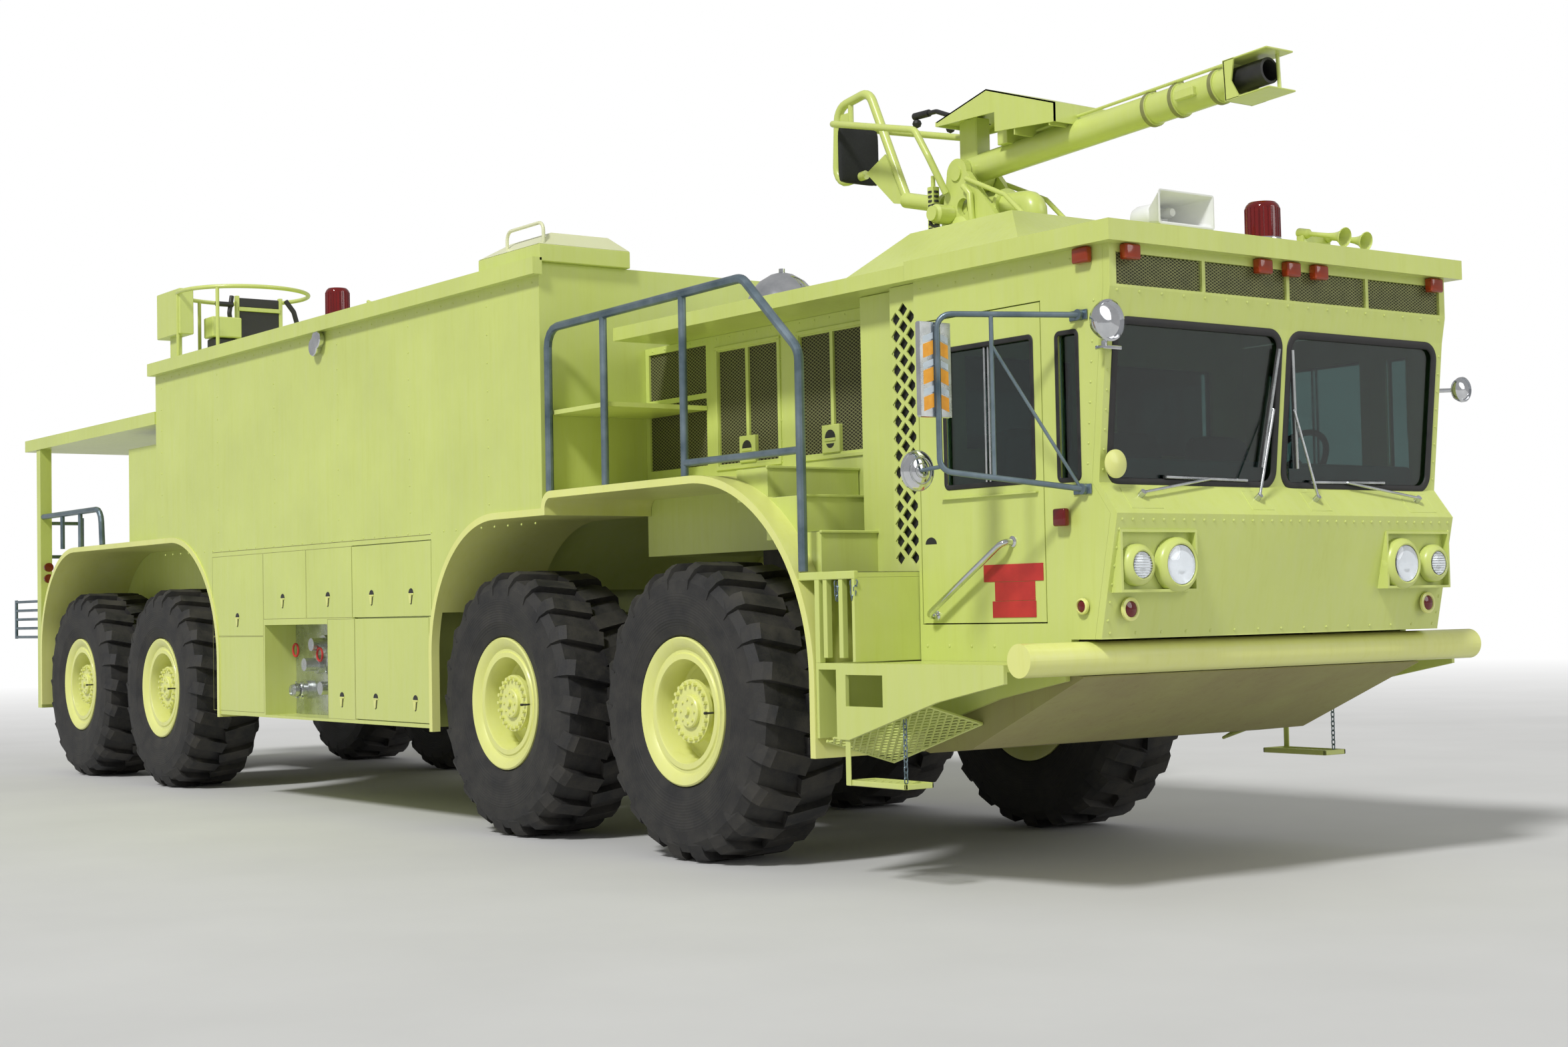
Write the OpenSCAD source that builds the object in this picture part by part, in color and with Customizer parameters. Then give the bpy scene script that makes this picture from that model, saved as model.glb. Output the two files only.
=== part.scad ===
/* [Body] */
// Half of the body's full width, to the side skins
half_w = 1524; // [1500:2:1560]
// Length of the tank body along the truck
tank_len = 6000; // [5900:10:6060]
// Place of the tank body's front face, from the truck's middle
tank_front = 2700; // [2680:5:2720]
// Height of the body's lower edge above the ground
sill_z = 610; // [580:5:640]
// Height of the tank body's flat roof
tank_top = 3300; // [3260:5:3340]
// Thickness of the body's sheet and frame sections
skin = 40; // [30:1:50]
// How far the tank's gutter stands out of the side
gutter = 60; // [40:5:80]

/* [Wheels] */
// Radius of a tyre over its lugs
tyre_r = 778; // [765:1:785]
// Width of a tyre
tyre_w = 596; // [580:2:600]
// Distance of a tyre's middle from the truck's middle
wheel_y = 1200; // [1190:2:1210]
// Middle of the front pair of axles
bogie_front = 3058; // [3050:1:3070]
// Middle of the rear pair of axles
bogie_rear = -4350; // [-4360:1:-4340]
// Half of the distance between the two axles of a pair
half_base = 940; // [930:1:950]
// Radius of the rim's flange
rim_r = 388; // [380:1:395]
// Distance of a kingpin from the truck's middle
kingpin_y = 980; // [970:1:990]
// Radius of a kingpin
kingpin_r = 35; // [30:1:40]
// Radius of a wheel spindle
spindle_r = 75; // [65:1:85]
// Radial running clearance of pins and spindles
running = 0.08; // [0.03:0.01:0.1]
// Lugs round one side of a tyre
lug_count = 22; // [18:1:26]

/* [Cab] */
// Half of the cab's width
cab_w = 1135; // [1120:5:1150]
// Place of the cab's rear wall
cab_back = 5550; // [5540:5:5560]
// Height of the cab's lower edge
cab_low = 1041; // [1030:1:1050]
// Height of the roof's underside
cab_high = 2836; // [2820:2:2850]
// Thickness of the roof with its lip
roof_t = 92; // [80:2:100]
// How far the roof's lip stands out of the cab's side
roof_lip = 61; // [50:1:70]
// Height of the door's lower edge
door_low = 1212; // [1200:2:1220]
// Height of the door's upper edge
door_high = 2640; // [2620:5:2660]
// Place of the door's front edge
door_front = 6424; // [6410:2:6430]
// Gap round doors and lids
door_gap = 6; // [5:0.5:10]
// Thickness of window glass
glass_t = 10; // [8:1:14]

/* [Housing] */
// Half of the engine housing's width
housing_w = 815; // [800:5:830]
// Place of the engine housing's front end
housing_front = 5400; // [5380:5:5420]
// Height of the walkway over the front wheels
walk_z = 1990; // [1980:2:2000]

/* [Turrets] */
// Place of the front turret's swivel axis
turret_x = 4720; // [4700:5:4740]
// Height of the front turret's barrel axis at its trunnion
turret_z = 3600; // [3590:5:3620]
// Upward tilt of the front barrel as parked
barrel_tilt = 7; // [0:1:12]
// Place of the rear turret's swivel axis
rear_turret_x = -2350; // [-2400:10:-2300]

/* [Hidden] */
hub_z = tyre_r;
half_tyre = tyre_w / 2;
axle_f1 = bogie_front + half_base;
axle_f2 = bogie_front - half_base;
axle_r1 = bogie_rear + half_base;
axle_r2 = bogie_rear - half_base;
tank_back = tank_front - tank_len;

body_col = "#dfe37a";
bright_col = "#eaf07c";
black_col = "#1c1c1c";
tube_col = "#7f8f9b";
chrome_col = "#c8ccd0";
glass_col = "#33404a";
frame_col = "#8d8f4e";

// Outer box of the wheel arches: the two ends, the top and the corner radii
front_arches = [[1300, 3600, 1896, 850, 100], [2700, 5237, walk_z, 100, 1040]];
rear_arches = [[-6130, -2040, 1946, 900, 960]];
arch_band = 40;
liner_y = 1480;
// Clearance between pieces that seat on each other
fit = 0.3;

// Rails of the chassis
rail_y = 430;
rail_flange = 90;
rail_web = 14;
rail_low = 960;
rail_high = 1280;
rail_back = -6060;
rail_front = 5480;
horn_low = 1000;

// Round-headed arches in the side view, from rows of end, end, top and corner radii
module arch_shape(rows, grow, low) for (row = rows) {
    x0 = row[0] - grow;
    x1 = row[1] + grow;
    top = row[2] + grow;
    r0 = row[3] + grow;
    r1 = row[4] + grow;
    translate([x0, low]) square([r0, top - r0 - low]);
    translate([x1 - r1, low]) square([r1, top - r1 - low]);
    translate([x0 + r0, low]) square([x1 - r1 - x0 - r0, top - low]);
    for (c = [[x0 + r0, r0, x0], [x1 - r1, r1, x1 - r1]]) intersection() {
        translate([c[0], top - c[1]]) circle(c[1], $fn = 96);
        translate([c[2], top - c[1]]) square(c[1]);
    }
}

// Turns a side-view outline (x, z) into a slab from y0 to y1
module side_slab(y0, y1) {
    translate([0, y1, 0]) rotate([90, 0, 0]) linear_extrude(y1 - y0) children();
}

module both_sides() {
    children();
    mirror([0, 1, 0]) children();
}

// Box from its low corner to its high corner
module block(low, high) {
    translate(low) cube(high - low);
}

// Straight round bar between two points
module bar(p, q, r) {
    d = q - p;
    len = norm(d);
    translate(p)
        rotate([0, acos(d[2] / len), atan2(d[1], d[0])])
            cylinder(r = r, h = len, $fn = 24);
}

function unit(v) = v / norm(v);
pipe_sides = 12;
bend_steps = 4;

// Points of a path whose corners are rounded to the bend radius
function round_path(points, bend) = let (last = len(points) - 1) concat([points[0]],
    [for (i = [1 : last - 1]) let (
        u = unit(points[i] - points[i - 1]),
        v = unit(points[i + 1] - points[i]),
        turn = acos(u * v),
        back = bend * tan(turn / 2),
        c = points[i] + unit(v - u) * bend / cos(turn / 2),
        e = (points[i] - u * back - c) / bend)
        for (k = [0 : bend_steps]) let (a = turn * k / bend_steps) c + bend * (e * cos(a) + u * sin(a))],
    [points[last]]);

// Ring of a pipe round point p of a path that lies in the plane with normal n
function ring(p, along, n, r) = let (side = cross(n, along))
    [for (k = [0 : pipe_sides - 1]) let (a = (k + 0.5) * 360 / pipe_sides) p + r * (side * cos(a) + n * sin(a))];

// Bent pipe through points that lie in one plane
module bent_bar(points, r, bend) {
    path = round_path(points, bend);
    last = len(path) - 1;
    n = unit(cross(points[1] - points[0], points[2] - points[1]));
    rings = [for (i = [0 : last]) each ring(path[i],
        unit(unit(path[min(i + 1, last)] - path[max(i - 1, 0)])), n, r)];
    polyhedron(rings, concat(
        [[for (k = [0 : pipe_sides - 1]) k]],
        [[for (k = [pipe_sides - 1 : -1 : 0]) last * pipe_sides + k]],
        [for (i = [0 : last - 1], k = [0 : pipe_sides - 1]) let (m = (k + 1) % pipe_sides)
            [i * pipe_sides + k, (i + 1) * pipe_sides + k, (i + 1) * pipe_sides + m, i * pipe_sides + m]]));
}

module frame_rails() color(frame_col) {
    both_sides() difference() {
        block([rail_back, rail_y - rail_flange, rail_low], [rail_front, rail_y, rail_high]);
        block([rail_back - 1, rail_y - rail_flange - 1, rail_low + rail_web],
            [rail_front + 1, rail_y - rail_web, rail_high - rail_web]);
    }
    both_sides() block([rail_front, rail_y - rail_flange, horn_low],
        [bumper_x - bumper_r - fit, rail_y, floor_low - fit]);
    for (x = [rail_back + 60, axle_r1 + 420, -1700, -200, 1300, bogie_front, rail_front - 60])
        block([x - 60, rail_web - rail_y, rail_low + 60], [x + 60, rail_y - rail_web, rail_high - 60]);
}

ball_r = 230;
tube_r = 100;
boss_r = 105;
boss_half = 110;

// One axle: its tube, the final drive's bowl and, on the front pair, the bosses of the kingpins
module axle(x, steered) {
    end = steered ? kingpin_y : wheel_y - 60;
    translate([x, 0, hub_z]) difference() {
        union() {
            rotate([90, 0, 0]) cylinder(r = tube_r, h = 2 * end, center = true, $fn = 48);
            rotate([90, 0, 0]) cylinder(r = ball_r, h = 220, center = true, $fn = 64);
            rotate([90, 0, 0]) cylinder(r = 170, h = 420, center = true, $fn = 64);
            if (steered)
                both_sides() translate([0, kingpin_y, 0])
                    cylinder(r = boss_r, h = 2 * boss_half, center = true, $fn = 48);
            else
                both_sides() rotate([-90, 0, 0]) {
                    translate([0, 0, end - 1]) cylinder(r = drum_r, h = drum_t, $fn = 64);
                    cylinder(r = spindle_r, h = spindle_end, $fn = 48);
                }
        }
        if (steered)
            both_sides() translate([0, kingpin_y, 0])
                cylinder(r = kingpin_r + running, h = 3 * boss_half, center = true, $fn = 48);
    }
}

drum_r = 190;
drum_t = 48;
spindle_end = wheel_y + 90;
module axles() color(frame_col) {
    for (x = [axle_f1, axle_f2]) axle(x, true);
    for (x = [axle_r1, axle_r2]) axle(x, false);
}

spring_y0 = 470;
spring_y1 = 580;
// Rows of a leaf: half length, lower edge and upper edge above the hub
leaves = [[1060, 100, 128], [1020, 128, 152], [820, 152, 176], [620, 176, 200], [420, 200, 224]];

module suspension() color("#3a3a36") {
    for (x = [bogie_front, bogie_rear]) both_sides() {
        for (leaf = leaves)
            block([x - leaf[0], spring_y0, hub_z + leaf[1]], [x + leaf[0], spring_y1, hub_z + leaf[2]]);
        block([x - 110, spring_y0 - 20, hub_z + 224], [x + 110, spring_y1 + 20, hub_z + 300]);
        block([x - 150, rail_y, rail_low - 60], [x + 150, rail_y + 30, rail_high - 40]);
        translate([x, rail_y, hub_z + 262]) rotate([-90, 0, 0])
            cylinder(r = 60, h = spring_y1 + 40 - rail_y, $fn = 48);
    }
}

floor_low = 1141;
// Side view of the cab's front: the skin's outer corners from the lower edge up
cab_line = [[6759, floor_low], [6759, 1148], [6870, 1679], [6765, 1815], [6838, 2530], [6860, 2650],
    [6860, cab_high]];
function shift_line(line, d) = [for (p = line) [p[0] + d, p[1]]];
function backwards(line) = [for (i = [len(line) - 1 : -1 : 0]) line[i]];
screen_low = 1818;
screen_high = 2512;
screen_in = 33;
screen_out = 1078;
screen_lean = atan((6838 - 6765) / (2530 - 1815));
screen_x = 6765;
screen_r = 70;

module screen_shape(grow) {
    w = screen_out - screen_in + 2 * grow;
    h = (screen_high - screen_low) / cos(screen_lean) + 2 * grow;
    translate([-grow, -grow]) {
        translate([screen_r, 0]) square([w - 2 * screen_r, h]);
        translate([0, screen_r]) square([w, h - 2 * screen_r]);
        for (y = [screen_r, w - screen_r], z = [screen_r, h - screen_r])
            translate([y, z]) circle(screen_r, $fn = 32);
    }
}

// Puts a shape drawn in a windscreen pane's plane in its place, d behind the outer skin
module on_screen(d, t, grow) {
    translate([screen_x, screen_in, screen_low]) rotate([0, screen_lean, 0])
        translate([-d, 0, 0]) rotate([90, 0, 90]) linear_extrude(t) screen_shape(grow);
}

lamp_pod = [643, 1111, 1340, 1610];
module cab_front() color(body_col) {
    difference() {
        side_slab(-cab_w, cab_w)
            polygon(concat(cab_line, backwards(shift_line(cab_line, -skin))));
        both_sides() on_screen(skin * 3, skin * 6, 0);
        both_sides() block([6700, lamp_pod[0], lamp_pod[2]], [6900, lamp_pod[1], lamp_pod[3]]);
        for (y = grille_edges) block([6800, y[0], 2662], [6900, y[1], 2800]);
    }
    both_sides() lamp_box();
}

grille_edges = [[-1095, -565], [-545, -10], [10, 545], [565, 1095]];
module lamp_box() {
    difference() {
        intersection() {
            block([6700, lamp_pod[0], lamp_pod[2]], [6862, lamp_pod[1], lamp_pod[3]]);
            side_slab(lamp_pod[0], lamp_pod[1])
                polygon(concat(shift_line(cab_line, -skin), [[7000, cab_high], [7000, floor_low]]));
        }
        block([6868 - 40, lamp_pod[0] + 12, lamp_pod[2] + 12],
            [6900, lamp_pod[1] - 12, lamp_pod[3] - 12]);
    }
}

side_in = 45;
window = [[5760, 6400], [1845, 2487]];
vent = [[6520, 6650], [1835, 2480]];

module cab_walls() color(body_col) {
    both_sides() difference() {
        side_slab(cab_w - side_in, cab_w) polygon(concat([[cab_back, cab_low], [6570, cab_low],
            [6570, floor_low]], shift_line(cab_line, -skin - 1), [[cab_back, cab_high]]));
        block([cab_back + 20, cab_w - 2 * side_in, door_low], [door_front, cab_w + 1, door_high]);
        block([vent[0][0], cab_w - 2 * side_in, vent[1][0]], [vent[0][1], cab_w + 1, vent[1][1]]);
    }
    difference() {
        block([cab_back, side_in - cab_w, floor_low], [cab_back + skin, cab_w - side_in, cab_high]);
        for (y = [[-850, -150], [150, 850]])
            block([cab_back - 1, y[0], 2050], [cab_back + skin + 1, y[1], 2500]);
    }
}

module cab_floor() color(frame_col) {
    block([cab_back + skin + fit, fit - cab_w + side_in, floor_low],
        [6719 - fit, cab_w - side_in - fit, floor_z]);
    side_slab(-cab_w, cab_w) polygon([[5560, 620], [5600, 610], [5900, 640], [6640, 975], [6640, 982],
        [6560, 985], [5900, 668], [5600, 640], [5560, 640]]);
    both_sides() side_slab(cab_w - 30, cab_w)
        polygon([[5560, 640], [5600, 640], [5900, 668], [6560, 985], [6560, cab_low - 1], [5560, cab_low - 1]]);
}

module cab_roof() color(body_col) {
    w = cab_w + roof_lip;
    block([cab_back + 6, -w, cab_high], [6922, w, cab_high + roof_t]);
    block([2960, -w, cab_high], [cab_back + 5, w, cab_high + roof_t - 18]);
}

module cab_glass() color(glass_col) {
    both_sides() {
        on_screen(skin * 0.6, glass_t, -0.5);
        block([vent[0][0] + 0.5, cab_w - 30, vent[1][0] + 0.5],
            [vent[0][1] - 0.5, cab_w - 30 + glass_t, vent[1][1] - 0.5]);
    }
    for (y = [[-850, -150], [150, 850]])
        block([cab_back + 15, y[0] + 0.5, 2050.5], [cab_back + 15 + glass_t, y[1] - 0.5, 2499.5]);
}

floor_z = floor_low + 40;
// Rows of a seat: middle along the truck and across it
seats = [[6060, -640], [6060, 640], [6060, 0]];
module cab_interior() {
    color(black_col) for (s = seats) translate([s[0], s[1], floor_z]) {
        side_slab(-220, 220) polygon([[-240, 250], [250, 240], [250, 350], [-120, 370], [-200, 960], [-310, 960],
            [-250, 370]]);
        block([-160, -160, 0], [180, 160, 260]);
    }
    color(black_col) {
        block([6480, -1060, floor_z + 500], [6690, 1060, floor_z + 700]);
        block([6560, -1060, floor_z], [6690, 1060, floor_z + 500]);
        bar([6500, 640, floor_z + 600], [6290, 640, floor_z + 760], 28);
    }
    color(black_col) translate([6290, 640, floor_z + 760]) rotate([0, -52, 0])
        rotate_extrude($fn = 48) translate([215, 0]) circle(16, $fn = 24);
    color(black_col) translate([6290, 640, floor_z + 760]) rotate([0, -52, 0]) {
        block([-212, -18, -10], [212, 18, 10]);
        cylinder(r = 60, h = 30, center = true, $fn = 32);
    }
}

bumper_x = 6653;
bumper_z = 1059;
bumper_r = 73;
module bumper() color(bright_col) {
    translate([bumper_x, 0, bumper_z]) rotate([90, 0, 0])
        cylinder(r = bumper_r, h = 2 * half_w - 6, center = true, $fn = 64);
}

// Front steps beside the cab
ledge_front = 6123;
module side_steps() color(body_col) both_sides() {
    block([tank_front + 2, housing_w + 2, 2425], [3341, rail_plane - hand_r - 1, 2450]);
    difference() {
        side_slab(cab_w + 3, half_w) polygon([[5240, 687], [5483, 687], [6117, 874], [6560, 960],
            [6560, cab_low], [5240, cab_low]]);
        side_slab(cab_w + 30, half_w - 20) polygon([[5413, 650], [5480, 650], [6117, 840], [6700, 930],
            [6700, cab_low - 30], [5413, cab_low - 30]]);
        block([5260, cab_w - 1, 600], [5393, half_w + 1, cab_low - 30]);
        block([5464, half_w - 30, 842], [5737, half_w + 1, 988]);
    }
    block([5116, housing_w + 2, 1440], [5545, half_w, 1462]);
    block([5525, housing_w + 2, 1048], [5545, half_w, 1439]);
    block([5240, half_w - 30, 1042], [5275, half_w, 1439]);
}

module front_fenders() color(bright_col) both_sides() difference() {
    side_slab(housing_w + 2, half_w + 10) difference() {
        arch_shape(front_arches, 0, 590);
        arch_shape(front_arches, -arch_band, 500);
    }
    block([1000, housing_w, 500], [1450, liner_y, 1320]);
}

module engine_housing() color(body_col) {
    both_sides() difference() {
        block([tank_front + 2, housing_w - skin, 1620], [housing_front, housing_w, cab_high - 1]);
        for (s = screens) block([s[0], housing_w - 2 * skin, s[2]], [s[1], housing_w + 1, s[3]]);
    }
    block([tank_front + 2, skin - housing_w, 1620], [tank_front + 2 + skin, housing_w - skin, cab_high - 1]);
    block([housing_front + 1, -housing_w, 1300], [housing_front + skin, housing_w, cab_high - 1]);
}

// Rows of a screen: its two ends, its lower and upper edges
screens = [[3413, 3999, 2128, 2730], [4191, 4800, 2128, 2730]];
module housing_screens() color(black_col) both_sides() for (s = screens)
    block([s[0] + 1, housing_w - 30, s[2] + 1], [s[1] - 1, housing_w - 14, s[3] - 1]);

module engines() color("#4a4a48") {
    block([3300, -420, rail_high + fit], [4900, 420, 2300]);
    block([-5900, -420, rail_high + fit], [-4500, 420, 1880]);
}

// Rows of a locker door: its two ends, its lower and upper edges
locker_upper = [214, 1330, 1302, 1765];
locker_lower = [247, 1290, 640, 1292];
lid_t = 22;
locker_depth = 350;
locker_end = 1160;
module locker_cut(row) {
    block([row[0] - door_gap, half_w - lid_t - 2, row[2] - door_gap],
        [row[1] + door_gap, half_w + 1, row[3] + door_gap]);
    block([row[0] + 20, half_w - locker_depth, row[2] + 20], [locker_end, half_w, row[3] - 20]);
}

module tank_body() color(body_col) difference() {
    union() {
        side_slab(-half_w, half_w) difference() {
            translate([tank_back, sill_z]) square([tank_len, tank_top - sill_z]);
            arch_shape(front_arches, fit, 0);
            arch_shape(rear_arches, fit, 0);
        }
        both_sides() block([tank_back - 20, half_w - 1, 3225], [tank_front + 36, half_w + gutter, tank_top + 21]);
    }
    block([1195, -liner_y, 0], [1400, liner_y, 1700]);
    block([-9000, -housing_w - 40, 0], [9000, housing_w + 40, 1300]);
    both_sides() {
        locker_cut(locker_upper);
        locker_cut(locker_lower);
        block([-1220, half_w - 250, 627], [-180, half_w + 1, 1260]);
    }
}

module valve_panel() both_sides() {
    color(body_col) block([-1218, half_w - 249, 628], [-182, half_w - 235, 1259]);
    color(chrome_col) for (v = [[-1000, 800], [-820, 980], [-560, 820], [-400, 1000], [-700, 1120]])
        translate([v[0], half_w - 235, v[1]]) rotate([-90, 0, 0]) {
            cylinder(r = 45, h = 120, $fn = 32);
            cylinder(r = 65, h = 30, $fn = 32);
        }
}

hand_r = 24;
rail_plane = half_w - 26;
module handrails() color(tube_col) both_sides() {
    bent_bar([[2745, rail_plane, walk_z], [2745, rail_plane, 2913], [4660, rail_plane, 2950],
        [5120, rail_plane, 2540], [5120, rail_plane, 1476]], hand_r, 110);
    for (x = [3341, 4118]) bar([x, rail_plane, walk_z], [x, rail_plane, 2925], hand_r - 3);
    bar([4118, rail_plane, 2060], [5120, rail_plane, 2060], hand_r - 5);
}

module rear_fenders() color(bright_col) both_sides()
    side_slab(housing_w + 2, half_w + 10) difference() {
        arch_shape(rear_arches, 0, 590);
        arch_shape(rear_arches, -arch_band, 500);
    }

module rear_house() color(body_col) {
    difference() {
        block([-6130, -housing_w, rail_high + fit], [tank_back - 2, housing_w, 1946]);
        block([-6090, -housing_w + 40, 1200], [tank_back - 42, housing_w - 40, 1906]);
    }
    block([-4250, -1400, 1948], [tank_back - 2, 1400, 2720]);
}

module canopy() color(body_col) {
    block([-6521, -half_w - 10, 2849], [tank_back - fit, half_w + 10, 2949]);
    both_sides() block([-6230, half_w - 100, 560], [-6131, half_w, 2848]);
}

module rear_rails() color(tube_col) both_sides() {
    bent_bar([[fit - 6131, rail_plane, 2250], [-4650, rail_plane, 2250], [-4620, rail_plane, 1950]],
        hand_r, 120);
    for (x = [-5620, -5160]) bar([x, rail_plane, 1947], [x, rail_plane, 2250], hand_r - 5);
    for (y = [1100, 1480]) bar([-6300, y, 565], [-6300, y, 2250], 20);
    for (z = [700 : 300 : 2200]) bar([-6300, 1100, z], [-6300, 1480, z], 16);
    for (z = [700, 2200]) bar([-6300, 1480, z], [-6230 - fit, 1480, z], 16);
    for (z = [1185, 1264, 1344, 1424, 1503]) bar([-6908, 1500, z], [-6230 - fit, 1500, z], 12);
    bar([-6908, 1500, 1170], [-6908, 1500, 1520], 14);
}

module lamps_and_horns() {
    lamp_set();
    roof_z = cab_high + roof_t;
    color("#f2f2ee") difference() {
        block([6580, -760, roof_z + 20], [6800, -440, roof_z + 200]);
        block([6620, -720, roof_z + 50], [6801, -480, roof_z + 170]);
    }
    color("#f2f2ee") block([6600, -640, roof_z], [6700, -560, roof_z + 21]);
    color("#8c1a12") translate([6720, 0, roof_z]) cylinder(r = 79, h = 200, $fn = 48);
    color(chrome_col) for (y = [420, 560]) translate([6560, y, roof_z + 70]) rotate([0, 90, 0]) {
        cylinder(r1 = 18, r2 = 55, h = 260, $fn = 32);
        translate([70, 0, 0]) rotate([0, -90, 0]) cylinder(r = 10, h = 70, $fn = 24);
    }
}

module mirrors() color(tube_col) both_sides() {
    bent_bar([[6680, cab_w + 12, 2545], [6323, 1650, 2560], [6323, 1650, 1880],
        [6692, cab_w + 12, 1790]], 16, 60);
    block([6290, 1560, 2110], [6306, 1742, 2530]);
}

module wipers() color(chrome_col) both_sides() for (y = [90, 1000]) translate([0, y, 0]) {
    bar([6800, 0, 1795], [6835, 0, 1830], 14);
    bar([6835, 0, 1830], [6870, 60, 2200], 8);
}

module lamp_set() {
    color(chrome_col) both_sides() for (l = [[763, 1457, 88], [1001, 1457, 58]])
        translate([6828, l[0], l[1]]) rotate([0, 90, 0]) cylinder(r = l[2], h = 60, $fn = 48);
    color("#c4682a") for (y = [-1030, -190, 0, 190, 1030])
        translate([6861, y, 2808]) rotate([0, 90, 0]) cylinder(r = 22, h = 30, $fn = 24);
}

module turret_bases() color(body_col) {
    translate([turret_x, 0, cab_high + roof_t - 18]) {
        cylinder(r = 620, h = 120, $fn = 64);
        cylinder(r = 420, h = 260, $fn = 64);
    }
    translate([rear_turret_x, 0, tank_top]) cylinder(r = 350, h = 60, $fn = 64);
}

door_t = 40;
door_back = cab_back + 20 + door_gap;
door_edge = door_front - door_gap;
module door_shape() difference() {
    block([door_back, cab_w - door_t, door_low + door_gap], [door_edge, cab_w, door_high - door_gap]);
    block([window[0][0], cab_w - 100, window[1][0]], [window[0][1] - 40, cab_w + 1, window[1][1]]);
}
module pane_shape() block([window[0][0] + 0.5, cab_w - 25, window[1][0] + 0.5],
    [window[0][1] - 40.5, cab_w - 25 + glass_t, window[1][1] - 0.5]);
module cab_door_left() color(body_col) door_shape();
module cab_door_right() color(body_col) mirror([0, 1, 0]) door_shape();
module door_glass_left() color(glass_col) pane_shape();
module door_glass_right() color(glass_col) mirror([0, 1, 0]) pane_shape();

mount_z = cab_high + roof_t - 18 + 261;
module turret_front_mount() color(body_col) {
    translate([turret_x, 0, mount_z]) cylinder(r = 300, h = 60, $fn = 64);
    both_sides() block([turret_x - 140, 140, mount_z + 59], [turret_x + 140, 190, turret_z + 120]);
    block([turret_x - 420, -330, turret_z + 180], [turret_x, 330, turret_z + 430]);
    both_sides() block([turret_x - 250, 191, mount_z + 59], [turret_x - 160, 260, turret_z + 181]);
    bent_bar([[turret_x - 200, 0, 3230], [turret_x - 1300, 0, 3500], [turret_x - 1500, 0, 4200]], 40, 160);
}

barrel_len = 2150;
module turret_front_barrel() color(body_col) translate([turret_x, 0, turret_z]) {
    rotate([90, 0, 0]) cylinder(r = 60, h = 278, center = true, $fn = 48);
    rotate([0, 90 - barrel_tilt, 0]) difference() {
        cylinder(r = 110, h = barrel_len, $fn = 48);
        translate([0, 0, 200]) cylinder(r = 98, h = barrel_len, $fn = 48);
    }
}

module turret_rear_mount() color(body_col) translate([rear_turret_x, 0, tank_top + 61]) {
    cylinder(r = 250, h = 40, $fn = 48);
    both_sides() block([-80, 100, 39], [80, 140, 360]);
}
module turret_rear_barrel() color(body_col) translate([rear_turret_x, 0, tank_top + 61 + 260]) {
    rotate([90, 0, 0]) cylinder(r = 40, h = 190, center = true, $fn = 32);
    rotate([0, 85, 0]) cylinder(r = 60, h = 800, $fn = 32);
}

hatch_x = 2350;
module tank_hatch() color("#eef0d8") block([hatch_x - 350, -1518, tank_top + 1], [hatch_x + 350, -930, tank_top + 150]);

module locker(row) block([row[0], half_w - lid_t, row[2]], [row[1], half_w, row[3]]);
module locker_upper_left() color(body_col) locker(locker_upper);
module locker_upper_right() color(body_col) mirror([0, 1, 0]) locker(locker_upper);
module locker_lower_left() color(body_col) locker(locker_lower);
module locker_lower_right() color(body_col) mirror([0, 1, 0]) locker(locker_lower);

// One steering knuckle on the left side: two ears on the kingpin, their web and the spindle
module knuckle(x) translate([x, kingpin_y, hub_z]) {
    for (s = [-1, 1]) translate([0, 0, s * (boss_half + 30)]) {
        cylinder(r = 70, h = 40, center = true, $fn = 48);
        block([-70, 0, -20], [70, 150, 20]);
    }
    cylinder(r = kingpin_r, h = 2 * boss_half + 100, center = true, $fn = 48);
    block([-110, 125, -boss_half - 50], [110, 160, boss_half + 50]);
    rotate([-90, 0, 0]) {
        translate([0, 0, 159]) cylinder(r = drum_r, h = drum_t, $fn = 64);
        translate([0, 0, 159]) cylinder(r = spindle_r, h = spindle_end - kingpin_y - 159, $fn = 48);
    }
}
module knuckle_f1_left() color(frame_col) knuckle(axle_f1);
module knuckle_f1_right() color(frame_col) mirror([0, 1, 0]) knuckle(axle_f1);
module knuckle_f2_left() color(frame_col) knuckle(axle_f2);
module knuckle_f2_right() color(frame_col) mirror([0, 1, 0]) knuckle(axle_f2);

// Half section of the wheel: radius and distance outward from the tyre's middle
rim_line = [[rim_r, 264], [rim_r, 250], [350, 241], [318, 226], [312, 120], [312, -200], [318, -226],
    [350, -241], [rim_r, -250], [rim_r, -264], [340, -262], [300, -240], [294, -200], [294, 40],
    [260, 60], [160, 60], [160, 0], [0, 0], [0, 200], [105, 200], [118, 185], [118, 120], [160, 120],
    [160, 78], [250, 78], [294, 96], [300, 226], [340, 262]];
hub_face = -5;
module wheel(x) translate([x, wheel_y, hub_z]) rotate([-90, 0, 0]) difference() {
    rotate_extrude($fn = 96) polygon(rim_line);
    translate([0, 0, -1]) cylinder(r = spindle_r + running, h = spindle_end - wheel_y + 6, $fn = 48);
}

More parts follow.
